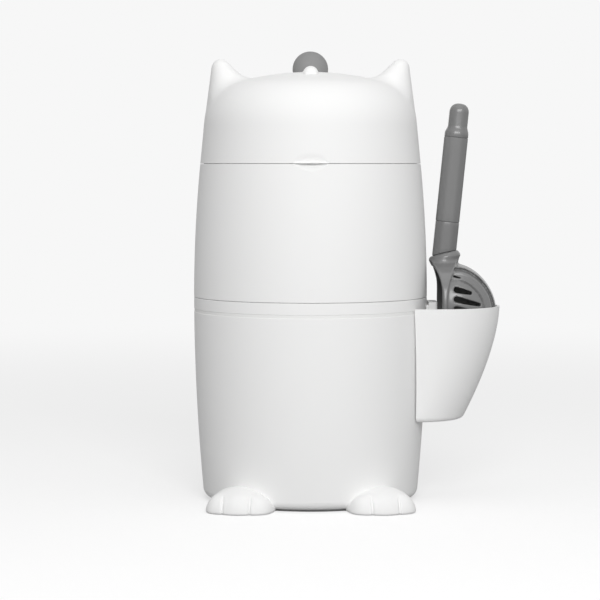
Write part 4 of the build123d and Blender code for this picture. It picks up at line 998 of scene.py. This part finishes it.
# ---------------------------------------------------------------------------- scoop
@dataclass
class Scoop:
    """The slotted scoop: trough, rim, flared head and the three sleeves of its handle.

    Attributes:
        mouth: the plane of its open side, from the pail's axis.
        half_width: half the trough's width.
        tip_narrowing: how much narrower each side is at the tip.
        heel: height above which the floor turns over.
        heel_reach, heel_rise: how far the heel turns out and up.
        heel_power, side_power: how square the heel and the trough's section are.
        tip: height of the tip.
        top_reach, low_reach: the holder's reach at its rim and its foot.
        holder_low, holder_high: heights of the holder's foot and rim.
        wall_gap: from the holder's outside to the trough's outside.
        wall: the trough's wall.
        slots: height, length and half width of the upper slots, the first one half filled.
        slot_pitch, slot_half, slot_slant: pitch, half width and slant of the slots below.
        slot_start: where the slots start from the pail's axis.
        slot_low: height below which there are none.
        far_shift, far_share: the far side's slots stand this much higher, and are narrower.
        band: width of the plain band along the outline.
        beads, grooves: (height or depth, place, half width) of the lines in that band, placed
            by their distance from the outline.
        panel: how deep the slotted field lies inside the band.
        lean: how far the handle leans outwards, in degrees.
        foot: where the handle starts, as x and z.
        rim_low, rim_span: height where the rim starts to widen, and over which it does.
        rim_middle: where the rim's middle lies at that height.
        rim_half, rim_power: half its width there, what it gains over the span, and how late.
        rim_thick: its half thickness there, and what it gains.
        rim_round: rounding along it.
        edge: rounding along the trough's other edges.
        tip_slant: how far the tip's slanting cut reaches in from the mouth.
        head_low: height where the head starts to flare from the rim.
        head_saddle: a place across the head, its height there, and its slope.
        head_bulge: middle, half width and height of the bulge on that slope.
        head_heights, head_left, head_right: the head's side view.
        head_deep: half its depth at the widest place.
        handle_size: width and depth of the handle.
        seams: the handle's seams, and its length, from its foot.
        seam_gap: gap at each seam.
        cap_slim, cap_shift, cap_dome: how slim the end cap is, how far it stands off the
            handle's axis, and the height of its round end.
        cell: pitch of the grid that the form is wrapped on.
    """

    mouth: float = 129.0
    half_width: float = 45.0
    tip_narrowing: float = 7.0
    heel: float = 190.0
    heel_reach: float = 39.8
    heel_rise: float = 44.0
    heel_power: float = 1.75
    side_power: float = 2.3
    tip: float = 84.0
    top_reach: float = 188.7
    low_reach: float = 152.0
    holder_low: float = 80.0
    holder_high: float = 192.0
    wall_gap: float = 3.9
    wall: float = 2.4
    slots: tuple[tuple[float, float, float], ...] = (
        (222.9, 8.0, 0.9), (210.7, 20.0, 2.9), (201.3, 29.0, 3.0))
    slot_pitch: float = 9.5
    slot_half: float = 2.9
    slot_slant: float = 13.5
    slot_start: float = 140.2
    slot_low: float = 104.0
    far_shift: float = 1.45
    far_share: float = 0.5
    band: float = 14.0
    beads: tuple[tuple[float, float, float], ...] = ((1.4, 2.2, 0.95), (1.1, 7.0, 1.2))
    grooves: tuple[tuple[float, float, float], ...] = ((1.0, 4.4, 0.9), (1.2, 14.0, 0.85))
    panel: float = 0.4
    lean: float = 5.7
    foot: tuple[float, float] = (133.5, 246.0)
    rim_low: float = 199.0
    rim_span: float = 35.0
    rim_middle: float = 131.8
    rim_half: tuple[float, float] = (2.1, 9.3)
    rim_power: float = 2.17
    rim_thick: tuple[float, float] = (2.0, 1.5)
    rim_round: float = 1.2
    edge: float = 0.7
    tip_slant: float = 18.0
    head_low: float = 226.0
    head_saddle: tuple[float, float, float] = (121.9, 241.5, 0.251)
    head_bulge: tuple[float, float, float] = (133.0, 11.5, 0.95)
    head_heights: tuple[float, ...] = (222.0, 226.0, 234.0, 239.2, 243.8, 247.5)
    head_left: tuple[float, ...] = (126.6, 125.0, 121.2, 118.3, 122.6, 129.0)
    head_right: tuple[float, ...] = (138.4, 141.0, 145.0, 147.4, 150.9, 145.6)
    head_deep: float = 15.0
    handle_size: tuple[float, float] = (23.5, 24.0)
    seams: tuple[float, float, float] = (30.0, 114.0, 147.8)
    seam_gap: float = 0.06
    cap_slim: float = 0.82
    cap_shift: float = 0.35
    cap_dome: float = 8.8
    cell: float = 0.85

    def reach(self, height: Points) -> Points:
        """How far out the trough's floor lies at a height, below the heel."""
        share = np.clip((self.holder_high - height) / (self.holder_high - self.holder_low), 0, 1.2)
        return self.top_reach - (self.top_reach - self.low_reach) * share ** 1.6 - self.wall_gap

    def outline(self, points: Points, inset: float) -> Points:
        """Size of a point in the side view, where 1 lies on the outline drawn in by an inset."""
        height = np.minimum(points[:, 2], self.heel)
        centre = self.reach(height) - self.heel_reach
        out = np.maximum(points[:, 0] - centre, 0) / (self.heel_reach - inset)
        rise = np.maximum(points[:, 2] - self.heel, 0) / (self.heel_rise - inset)
        return (out ** self.heel_power + rise ** self.heel_power) ** (1 / self.heel_power)

    def trough(self, points: Points, inset: float) -> Points:
        """Signed distance, roughly, to the filled trough drawn in by an inset."""
        size = self.outline(points, inset)
        share = np.clip((self.heel - points[:, 2]) / (self.heel - self.tip), 0, 1.2)
        half = self.half_width - self.tip_narrowing * share ** 2 - inset
        side = np.abs(points[:, 1]) / half
        power = self.side_power
        return ((size ** power + side ** power) ** (1 / power) - 1) * self.heel_reach

    def slot_rows(self) -> list[tuple[float, float, float]]:
        """Height, length and half width of every slot."""
        rows = list(self.slots)
        height = rows[-1][0] - self.slot_pitch
        while height > self.slot_low:
            end = float(self.reach(np.array(min(height - 8, self.heel)))) - self.band
            rows.append((height, (end - self.slot_start) / cos(radians(self.slot_slant)),
                         self.slot_half))
            height -= self.slot_pitch
        return rows

    def slot_field(self, points: Points) -> Points:
        """Signed distance to the slots through both sides, which narrow outwards."""
        slant = radians(self.slot_slant)
        far = points[:, 1] > 0
        width = np.where(far, self.far_share, 1.0)
        x = points[:, 0] - self.slot_start
        nearest = np.full(len(points), 1e3)
        for start, length, half in self.slot_rows():
            z = points[:, 2] - start - np.where(far, self.far_shift, 0.0)
            along, across = x * cos(slant) - z * sin(slant), x * sin(slant) + z * cos(slant)
            share = np.clip((along - half) / max(length - half, 1), 0, 1)
            radius = half * width * (1 - 0.55 * share ** 1.5)
            past = along - np.clip(along, half, max(length - half, half))
            nearest = np.minimum(nearest, np.hypot(past, across) - radius)
        return np.maximum(nearest, 20 - np.abs(points[:, 1]))

    def head_top(self, x: Points) -> Points:
        """Height of the head's saddle at a place across it."""
        start, low, slope = self.head_saddle
        middle, half, height = self.head_bulge
        return low + slope * (x - start) + height * np.clip(1 - ((x - middle) / half) ** 2, 0, 1)

    def head(self, points: Points) -> Points:
        """Signed distance, roughly, to the flared head between the rim and the handle."""
        x, y, z = points.T
        heights = z[:, None] + np.linspace(-2.4, 2.4, 7)
        left, right = (np.interp(heights, self.head_heights, edge).mean(1)
                       for edge in (self.head_left, self.head_right))
        half = (right - left) / 2
        deep = self.head_deep * half / 14.9
        size = np.sqrt(((x - (left + right) / 2) / half) ** 2 + (y / deep) ** 2)
        side = (size - 1) * half * 0.9
        body = round_corner(side, (z - self.head_top(x)) * 0.96, self.edge)
        return round_corner(body, self.head_low - z, self.edge)

    def form(self, points: Points) -> Points:
        """Signed distance to the trough with its rim and head."""
        x, y, z = points.T
        outside = self.trough(points, 0)
        inside = self.trough(points, self.wall)
        depth = (1 - self.outline(points, 0)) * self.heel_reach
        relief = self.panel * smooth_step(depth, self.band - 0.5, self.band + 0.8)
        for lines, sign in ((self.grooves, 1), (self.beads, -1)):
            for size, place, width in lines:
                relief = relief + sign * size * np.exp(-((depth - place) / width) ** 2)
        sides = smooth_step(np.abs(y), 5, 13)
        shell = round_corner(outside + sides * relief, -inside, 0.6)
        shell = round_corner(shell, self.mouth - x, self.edge)
        slant_cut = (self.mouth + self.tip_slant - x + (self.tip - 1 - z)) / sqrt(2)
        shell = round_corner(shell, slant_cut, self.edge)
        shell = soft_max(shell, -self.slot_field(points), self.edge)
        rise = np.clip((z - self.rim_low) / self.rim_span, 0, 1.3)
        half = self.rim_half[0] + self.rim_half[1] * rise ** self.rim_power
        thick = self.rim_thick[0] + self.rim_thick[1] * rise ** 3
        ring = np.abs(outside + 0.4 + rise ** 3) - thick
        rib = round_corner(np.abs(x - self.rim_middle - rise) - half, ring, self.rim_round)
        form = soft_min(soft_min(shell, rib, 1.6), self.head(points), 6.0)
        return soft_max(form, -inside, 0.6)

    def section(self, turns: Points, width: float, depth: float) -> Points:
        """A softly eight-sided section of the handle, as offsets along and across."""
        corner = np.stack([np.cos(turns), np.sin(turns)], -1)
        sides = np.arange(8) * pi / 4
        faces = np.stack([np.cos(sides), np.sin(sides)], -1)
        power = 14.0
        size = (np.maximum(corner @ faces.T, 0) ** power).sum(1) ** (1 / power)
        return corner / size[:, None] * np.array([width / 2, depth / 2])

    def sleeve(self, stations: Sequence[tuple[float, float, float]], slanted: bool = False,
               columns: int = 96) -> tuple[Points, Points]:
        """A sleeve through sections along the handle.

        Args:
            stations: (distance along the handle, size share, shift towards +X) of each section.
            slanted: whether its lower end follows the head's saddle.
            columns: corners in each section.

        Returns:
            Corners and faces, closed at both ends.
        """
        lean = radians(self.lean)
        along = np.array([sin(lean), 0, cos(lean)])
        across = np.array([cos(lean), 0, -sin(lean)])
        foot = np.array([self.foot[0], 0, self.foot[1]])
        turns = np.linspace(0, 2 * pi, columns, endpoint=False)
        flat = self.section(turns, *self.handle_size)
        first, last = stations[0][0], stations[-1][0]
        rings = []
        for distance, share, shift in stations:
            ring = foot + along * distance + across * shift + share * (
                flat[:, :1] * across + flat[:, 1:] * np.array([0, 1, 0]))
            if slanted:
                drop = self.head_top(ring[:, 0]) + 0.3 - (ring[:, 2] - (distance - first))
                ring = ring + along * (drop * (last - distance) / (last - first))[:, None]
            rings.append(ring)
        return np.concatenate(rings), ring_faces(len(rings), columns, closed=False)

    def rounded_end(self, edge: float = 0.7) -> list[tuple[float, float]]:
        """Distance from the end and size share of the sections round a sleeve's edge."""
        radius = self.handle_size[0] / 2
        return [(edge * (1 - cos(a)), 1 - edge * (1 - sin(a)) / radius)
                for a in np.linspace(0, pi / 2, 5)]

    def tube(self, low: float, high: float) -> list[tuple[float, float, float]]:
        """Stations of a straight sleeve with rounded ends."""
        start = [(low + rise, share, 0.0) for rise, share in self.rounded_end()]
        end = [(high - rise, share, 0.0) for rise, share in self.rounded_end()[::-1]]
        middle = [(low + (high - low) * share, 1.0, 0.0) for share in (0.15, 0.4, 0.6, 0.85)]
        return [(low, 0.0, 0.0), (low, 0.5, 0.0), *start, *middle, *end, (high, 0.5, 0.0),
                (high, 0.0, 0.0)]

    def cap_stations(self) -> list[tuple[float, float, float]]:
        """Stations of the end cap: a short full-width collar, a neck-in, then a round end."""
        low, high = self.seams[1] + self.seam_gap / 2, self.seams[2]
        slim, shift, dome = self.cap_slim, self.cap_shift, self.cap_dome
        start = [(low + rise, share, 0.0) for rise, share in self.rounded_end()]
        step = [(low + 3.5 + 8 * share, 1 - (1 - slim) * float(smooth_step(share, 0, 1)),
                 shift * float(smooth_step(share, 0, 1))) for share in np.linspace(0, 1, 9)]
        end = [(high - dome + dome * sin(a), slim * cos(a) ** 0.8, shift)
               for a in np.linspace(0, pi / 2 - 0.02, 16)]
        return [(low, 0.0, 0.0), (low, 0.5, 0.0), *start, *step, *end, (high, 0.0, shift)]

    def build(self) -> None:
        """Makes the trough with its head, and the three sleeves."""
        corners, faces = skin_over(self.form, (116, -49, 80), (190, 49, 251), self.cell)
        make_piece("scoop_trough", corners, faces, SCOOP_GRAY, Body.SCOOP,
                   ["scoop_basket", "scoop_guard"], 70)
        first, second, _ = self.seams
        half_gap = self.seam_gap / 2
        for name, node, finish, (corners, faces) in (
                ("lower_grip", "lower_sleeve", SCOOP_GRAY,
                 self.sleeve(self.tube(0.3, first - half_gap), slanted=True)),
                ("long_grip", "grip_sleeve", GRIP_GRAY,
                 self.sleeve(self.tube(first + half_gap, second - half_gap))),
                ("grip_end", "end_cap", SCOOP_GRAY, self.sleeve(self.cap_stations()))):
            make_piece(name, corners, faces, finish, Body.SCOOP, [node], 60)


# ---------------------------------------------------------------------------- repeated forms
@cache
def repeating_tree() -> bpy.types.NodeTree:
    """Builds the Geometry Nodes tree that sets one form at every marked place of a mesh.

    Its inputs are the places with their "heading" and "side" attributes, the form, its size
    and its finish.

    Returns:
        The tree, which is built once.
    """
    tree = bpy.data.node_groups.new("set_at_places", "GeometryNodeTree")
    for name, kind in (("Places", "NodeSocketGeometry"), ("Form", "NodeSocketObject"),
                       ("Size", "NodeSocketFloat"), ("Finish", "NodeSocketMaterial")):
        made = tree.interface.new_socket(name=name, in_out="INPUT", socket_type=kind)
        if name == "Size":
            made.default_value = 1.0
    tree.interface.new_socket(name="Pieces", in_out="OUTPUT", socket_type="NodeSocketGeometry")
    graph = Graph(tree)
    given = graph.add("NodeGroupInput").outputs
    heading, side = (graph.add("GeometryNodeInputNamedAttribute", {"Name": name},
                               data_type="FLOAT_VECTOR").outputs["Attribute"]
                     for name in ("heading", "side"))
    turn = graph.add("FunctionNodeAxesToRotation", {"Primary Axis": heading,
                                                    "Secondary Axis": side},
                     primary_axis="Z", secondary_axis="X")
    form = graph.add("GeometryNodeObjectInfo", {"Object": given["Form"]})
    size = graph.add("ShaderNodeCombineXYZ", {0: given["Size"], 1: given["Size"],
                                              2: given["Size"]})
    copies = graph.add("GeometryNodeInstanceOnPoints", {
        "Points": given["Places"], "Instance": form.outputs["Geometry"],
        "Rotation": turn.outputs[0], "Scale": size.outputs[0]})
    solid = graph.add("GeometryNodeRealizeInstances", {"Geometry": copies.outputs[0]})
    dressed = graph.add("GeometryNodeSetMaterial", {"Geometry": solid.outputs[0],
                                                    "Material": given["Finish"]})
    graph.add("NodeGroupOutput", {"Pieces": dressed.outputs[0]})
    return tree


@dataclass(frozen=True)
class Place:
    """Where one copy of a repeated form goes.

    Attributes:
        at: its origin in millimetres.
        heading: where its +Z points.
        side: where its +X points, roughly.
    """

    at: tuple[float, float, float]
    heading: tuple[float, float, float]
    side: tuple[float, float, float]


def set_out(name: str, form: tuple[Points, Points], places: Sequence[Place],
            finish: Moulded | Steel, body: Body, replaces: Sequence[str] = (),
            sharp: float = 35.0) -> None:
    """Sets a form at every place by Geometry Nodes and leaves one plain mesh.

    Args:
        name: the piece's name.
        form: corners, in millimetres, and faces of the form.
        places: where its copies go.
        finish: what they are made of.
        body: the body they ride on.
        replaces: CAD nodes they stand for.
        sharp: faces that meet at more than this angle keep a crisp edge, in degrees.
    """
    pattern_mesh = bpy.data.meshes.new(name + "_pattern")
    pattern_mesh.from_pydata((form[0] * MM).tolist(), [], form[1].tolist())
    pattern = bpy.data.objects.new(name + "_pattern", pattern_mesh)
    spots = bpy.data.meshes.new(name + "_places")
    spots.from_pydata([[v * MM for v in place.at] for place in places], [], [])
    for key in ("heading", "side"):
        marks = spots.attributes.new(key, "FLOAT_VECTOR", "POINT")
        marks.data.foreach_set("vector", [v for place in places for v in getattr(place, key)])
    carrier = bpy.data.objects.new(name + "_places", spots)
    for thing in (pattern, carrier):
        bpy.context.scene.collection.objects.link(thing)
    tree = repeating_tree()
    modifier = carrier.modifiers.new("copies", "NODES")
    modifier.node_group = tree
    keys = {item.name: item.identifier for item in tree.interface.items_tree
            if item.in_out == "INPUT"}
    modifier[keys["Form"]] = pattern
    modifier[keys["Size"]] = 1.0
    modifier[keys["Finish"]] = finish.material()
    graph = bpy.context.evaluated_depsgraph_get()
    made = bpy.data.meshes.new_from_object(carrier.evaluated_get(graph), depsgraph=graph)
    corners = np.empty(len(made.vertices) * 3)
    made.vertices.foreach_get("co", corners)
    faces = [list(face.vertices) for face in made.polygons]
    carrier.modifiers.remove(modifier)
    for thing, data in ((carrier, spots), (pattern, pattern_mesh)):
        bpy.data.objects.remove(thing)
        bpy.data.meshes.remove(data)
    bpy.data.meshes.remove(made)
    make_piece(name, corners.reshape(-1, 3) / MM, faces, finish, body, replaces, sharp)


@dataclass(frozen=True)
class PanScrew:
    """A pan-head screw with a cross recess, its head's top at the origin and +Z outwards.

    Attributes:
        head_radius, head: the head's radius and height.
        shank_radius, length: the shank's radius and length.
        crown, recess: how much of the head's height its round top and the recess take.
        arm_half: half the width of the recess's arms, as a share of the head's radius.
        arm_shares: where an arm starts and ends to fade out, as shares of that radius.
    """

    head_radius: float
    head: float
    shank_radius: float
    length: float
    crown: float = 0.45
    recess: float = 0.55
    arm_half: float = 0.13
    arm_shares: tuple[float, float] = (0.52, 0.64)

    def form(self, columns: int = 48) -> tuple[Points, Points]:
        """Returns the screw's corners and faces."""
        turns = np.linspace(0, 2 * pi, columns, endpoint=False)
        rings = []
        for share in (0.0, 0.12, 0.2, 0.28, 0.36, 0.44, 0.52, 0.58, 0.64, 0.72, 0.82, 0.92, 0.98,
                      1.0):
            radius = self.head_radius * share
            x, y = radius * np.cos(turns), radius * np.sin(turns)
            arm = np.minimum(np.abs(x), np.abs(y)) - self.arm_half * self.head_radius
            sunk = 1 - smooth_step(arm, -0.02 * self.head_radius, 0.06 * self.head_radius)
            sunk = sunk * (1 - smooth_step(np.array(share), *self.arm_shares))
            level = -self.head * (self.crown * share ** 4 + self.recess * sunk)
            rings.append(np.stack([x, y, level], -1))
        tip = -self.head - self.length
        for radius, level in ((self.head_radius, -0.9 * self.head),
                              (0.96 * self.head_radius, -self.head),
                              (self.shank_radius, -self.head),
                              (self.shank_radius, tip + self.shank_radius), (0.0, tip)):
            rings.append(np.stack([radius * np.cos(turns), radius * np.sin(turns),
                                   np.full(columns, level)], -1))
        return np.concatenate(rings), ring_faces(len(rings), columns, closed=False)


@dataclass
class SmallParts:
    """The screws, the gripper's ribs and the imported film, all repeated or pleated.

    Attributes:
        paw_screw, bracket_screw, hub_screw: the three kinds of screw.
        paw_reach: how far from the pail's axis the paw screws' heads end, measured outwards.
        pair_half: half the distance between the two screws of a paw or of the bracket.
        hub_circle: radius of the circle that the hub's screws stand on.
        fingers: how many fingers the gripper has.
        finger_root, finger_tip: radii between which a finger's rib runs.
        rib_level: height of the ribs' middle above the gripper's lowest face.
        rib_half, rib_rise: a rib's half width at its tip and root, and half its height.
        paw_centre: middle of the right paw's screws, as x and y.
        film_inner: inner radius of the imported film.
        pleats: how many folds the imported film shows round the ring.
    """

    paw_screw: PanScrew = PanScrew(3.4, 2.2, 1.6, 12.9)
    bracket_screw: PanScrew = PanScrew(3.0, 2.0, 1.6, 8.4)
    hub_screw: PanScrew = PanScrew(2.4, 1.6, 1.3, 8.7)
    paw_centre: tuple[float, float] = (66.0, -92.0)
    paw_reach: float = 101.0
    pair_half: float = 9.0
    hub_circle: float = 15.0
    fingers: int = 14
    finger_root: float = 50.0
    finger_tip: float = 22.0
    rib_level: float = 1.8
    rib_half: tuple[float, float] = (1.0, 2.2)
    rib_rise: float = 0.9
    film_inner: float = 66.6
    pleats: int = 150

    def paw_places(self, low: float, high: float) -> list[Place]:
        """Places of the paws' screws, between the lowest and highest corner of their node."""
        height = (low + high) / 2
        places = []
        for side in (1, -1):
            out = Vector((side * self.paw_centre[0], self.paw_centre[1], 0)).normalized()
            across = Vector((-out.y, out.x, 0))
            for offset in (-self.pair_half, self.pair_half):
                at = out * self.paw_reach + across * offset + Vector((0, 0, height))
                places.append(Place(tuple(at), tuple(-out), (0, 0, 1)))
        return places

    def screws(self) -> None:
        """Makes the screws of the paws, the bracket and the hub."""
        low, high = (corner[2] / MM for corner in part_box("paw_screws"))
        set_out("paw_screw_set", self.paw_screw.form(), self.paw_places(low, high), PLAIN_STEEL,
                Body.PAIL, ["paw_screws"])
        (_, _, low), (face, _, high) = (tuple(v / MM for v in corner)
                                        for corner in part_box("bracket_screws"))
        places = [Place((face, y, (low + high) / 2), (1, 0, 0), (0, 0, 1))
                  for y in (-self.pair_half, self.pair_half)]
        set_out("bracket_screw_set", self.bracket_screw.form(), places, PLAIN_STEEL, Body.PAIL,
                ["bracket_screws"])
        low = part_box("hub_screws")[0][2] / MM
        ring = self.hub_circle
        places = [Place((ring * cos(a), ring * sin(a), low), (0, 0, -1), (cos(a), sin(a), 0))
                  for a in (0, 2 * pi / 3, 4 * pi / 3)]
        set_out("hub_screw_set", self.hub_screw.form(), places, PLAIN_STEEL, Body.CAP,
                ["hub_screws"])

    def finger_ribs(self) -> None:
        """Makes the low rib along each finger of the gripper."""
        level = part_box("gripper_ring")[0][2] / MM + self.rib_level
        columns = 24
        turns = np.linspace(0, 2 * pi, columns, endpoint=False)
        rings = []
        for share in np.linspace(0, 1, 17):
            along = self.finger_tip + (self.finger_root - self.finger_tip) * share
            size = max(sin(pi * share), 0.0) ** 0.35
            wide = (self.rib_half[0] + (self.rib_half[1] - self.rib_half[0]) * share) * size
            rings.append(np.stack([np.full(columns, along), wide * np.cos(turns),
                                   self.rib_rise * size * np.sin(turns)], -1))
        form = np.concatenate(rings), ring_faces(len(rings), columns, closed=False)
        step = 2 * pi / self.fingers
        places = [Place((0, 0, level), (0, 0, 1), (cos(a), sin(a), 0))
                  for a in (np.arange(self.fingers) + 0.5) * step]
        set_out("finger_ribs", form, places, GRIPPER_GRAY, Body.UPPER)

    def film(self) -> None:
        """Makes the film packed in the cassette: a ring of thin gathered folds."""
        low, high = (np.array(corner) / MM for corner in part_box("film_pack"))
        inner, outer = self.film_inner, float(high[0])
        columns, rows = 8 * self.pleats, 44
        turns = np.linspace(0, 2 * pi, columns, endpoint=False)
        middle, half = (inner + outer) / 2, (outer - inner) / 2 - 0.9
        centre, rise = (low[2] + high[2]) / 2, (high[2] - low[2]) / 2 - 0.6
        rings = []
        for angle in np.linspace(0, 2 * pi, rows, endpoint=False):
            square = (abs(cos(angle)) ** 4 + abs(sin(angle)) ** 4) ** -0.25
            fold = np.sin(turns * self.pleats + 1.4 * np.sin(turns * 7) + 0.8 * sin(3 * angle))
            layers = 0.45 * sin(14 * angle)
            proud = 0.45 * fold + layers * 0.5
            radius = middle + (half + proud) * square * cos(angle)
            height = centre + (rise + 0.5 * proud) * square * sin(angle)
            rings.append(np.stack([radius * np.cos(turns), radius * np.sin(turns), height], -1))
        make_piece("packed_film", np.concatenate(rings), ring_faces(rows, columns, closed=True),
                   FILM, Body.UPPER, ["film_pack"], 70)

    def build(self) -> None:
        """Makes all the small parts."""
        self.screws()
        self.finger_ribs()
        self.film()


# ---------------------------------------------------------------------------- studio
@dataclass
class Studio:
    """A plain studio: the photograph's view, a pale floor and soft lamps.

    Attributes:
        eye, aim: the camera's place and the point that it looks at, in millimetres.
        lens: focal length for a 36 mm sensor.
        floor_half: half the floor's side, in millimetres.
        lamps: name, place, aim, power and side of each lamp.
        world_light, backdrop: strength of the world on the object, and as it is seen.
        floor_colour, floor_lift: the floor's colour, and the light it adds for the camera.
        fade: where the floor starts and ends to fade into the backdrop, in metres.
    """

    eye: tuple[float, float, float] = (-10.4, -2160.0, 333.0)
    aim: tuple[float, float, float] = (-10.4, 0.0, 197.5)
    lens: float = 130.0
    floor_half: float = 6000.0
    lamps: tuple[tuple, ...] = (
        ("front_lamp", (170, -2150, 1250), (0, 0, 220), 27.0, 1000),
        ("top_lamp", (100, -300, 1900), (0, 0, 300), 4.0, 1300),
        ("spark_lamp", (900, -1900, 1500), (100, 0, 250), 1.2, 60))
    world_light: float = 0.44
    backdrop: float = 0.93
    floor_colour: float = 0.5
    floor_lift: float = 0.55
    fade: tuple[float, float] = (0.45, 2.4)

    def camera(self) -> None:
        """Sets the camera at the photograph's viewing angle."""
        data = bpy.data.cameras.new("photo_view")
        data.lens, data.sensor_width = self.lens, 36.0
        data.clip_end = 50.0
        view = bpy.data.objects.new("photo_view", data)
        bpy.context.scene.collection.objects.link(view)
        eye, aim = Vector(self.eye) * MM, Vector(self.aim) * MM
        turn = (aim - eye).to_track_quat("-Z", "Y").to_matrix().to_4x4()
        view.matrix_world = Matrix.Translation(eye) @ turn
        bpy.context.scene.camera = view

    def lamp(self, name: str, place: Sequence[float], aim: Sequence[float], power: float,
             size: float) -> None:
        """Hangs a square soft lamp.

        Args:
            name: the lamp's name.
            place: where it hangs, in millimetres.
            aim: the point it shines at, in millimetres.
            power: its power in watts.
            size: its side in millimetres.
        """
        data = bpy.data.lights.new(name, "AREA")
        data.shape, data.size, data.energy = "SQUARE", size * MM, power
        lamp = bpy.data.objects.new(name, data)
        bpy.context.scene.collection.objects.link(lamp)
        place, aim = Vector(place) * MM, Vector(aim) * MM
        turn = (aim - place).to_track_quat("-Z", "Y").to_matrix().to_4x4()
        lamp.matrix_world = Matrix.Translation(place) @ turn

    def world(self) -> None:
        """Makes a dim even world that the camera and reflections see as pale."""
        world = bpy.data.worlds.new("studio")
        world.use_nodes = True
        world.node_tree.nodes.clear()
        graph = Graph(world.node_tree)
        path = graph.add("ShaderNodeLightPath").outputs
        seen = graph.add("ShaderNodeMath", {0: path["Is Camera Ray"], 1: path["Is Glossy Ray"]},
                         operation="MAXIMUM")
        seen = graph.add("ShaderNodeMath", {0: seen.outputs[0],
                                            1: path["Is Transmission Ray"]}, operation="MAXIMUM")
        level = graph.add("ShaderNodeMapRange", {
            "Value": seen.outputs[0], "To Min": self.world_light, "To Max": self.backdrop})
        light = graph.add("ShaderNodeBackground", {"Color": (1, 1, 1, 1),
                                                   "Strength": level.outputs[0]})
        graph.add("ShaderNodeOutputWorld", {"Surface": light.outputs[0]})
        bpy.context.scene.world = world

    def floor(self) -> None:
        """Lays the pale floor, which fades into the background far off."""
        half = self.floor_half * MM
        mesh = bpy.data.meshes.new("floor")
        mesh.from_pydata([(-half, -half, 0), (half, -half, 0), (half, half, 0), (-half, half, 0)],
                         [], [(0, 1, 2, 3)])
        ground = bpy.data.objects.new("floor", mesh)
        bpy.context.scene.collection.objects.link(ground)
        made, graph = cleared_material("pale_floor")
        place = graph.add("ShaderNodeTexCoord").outputs["Object"]
        away = graph.add("ShaderNodeVectorMath", {0: place}, operation="LENGTH")
        fade = graph.add("ShaderNodeMapRange", {
            "Value": away.outputs["Value"], "From Min": self.fade[0], "From Max": self.fade[1]},
            interpolation_type="SMOOTHSTEP")
        matt = graph.add("ShaderNodeBsdfDiffuse", {"Color": (*[self.floor_colour] * 3, 1)})
        path = graph.add("ShaderNodeLightPath").outputs
        lift = graph.add("ShaderNodeMath", {0: path["Is Camera Ray"], 1: self.floor_lift},
                         operation="MULTIPLY")
        lifted = graph.add("ShaderNodeEmission", {"Color": (1, 1, 1, 1),
                                                  "Strength": lift.outputs[0]})
        pale = graph.add("ShaderNodeAddShader", {0: matt.outputs[0], 1: lifted.outputs[0]})
        glow = graph.add("ShaderNodeEmission", {"Color": (1, 1, 1, 1),
                                                "Strength": self.backdrop})
        share = graph.add("ShaderNodeMath", {0: fade.outputs[0], 1: path["Is Camera Ray"]},
                          operation="MULTIPLY")
        both = graph.add("ShaderNodeMixShader", {0: share.outputs[0], 1: pale.outputs[0],
                                                 2: glow.outputs[0]})
        graph.add("ShaderNodeOutputMaterial", {"Surface": both.outputs[0]})
        mesh.materials.append(made)

    def build(self) -> None:
        """Sets up the whole studio."""
        bpy.context.scene.view_settings.view_transform = "Standard"
        self.camera()
        self.world()
        self.floor()
        for lamp in self.lamps:
            self.lamp(*lamp)


def dress_solids(frame: dict) -> None:
    """Gives every solid of the frame the finish of its slot."""
    slots = {part["node"]: Slot(part["material_slot"]) for part in frame["record"]["subparts"]}
    for name, solid in frame["nodes"].items():
        finish = FINISHES[slots[name]].material()
        if not solid.material_slots:
            solid.data.materials.append(finish)
        for place in solid.material_slots:
            place.material = finish


def main() -> None:
    """Builds every piece, dresses the solids and sets up the studio."""
    logging.basicConfig(level=logging.INFO, format="%(message)s")
    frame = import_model()
    Studio().build()
    dress_solids(frame)
    Lid().build()
    Paws().build()
    TurningCap().build()
    Scoop().build()
    SmallParts().build()


if __name__ == "__main__":
    main()
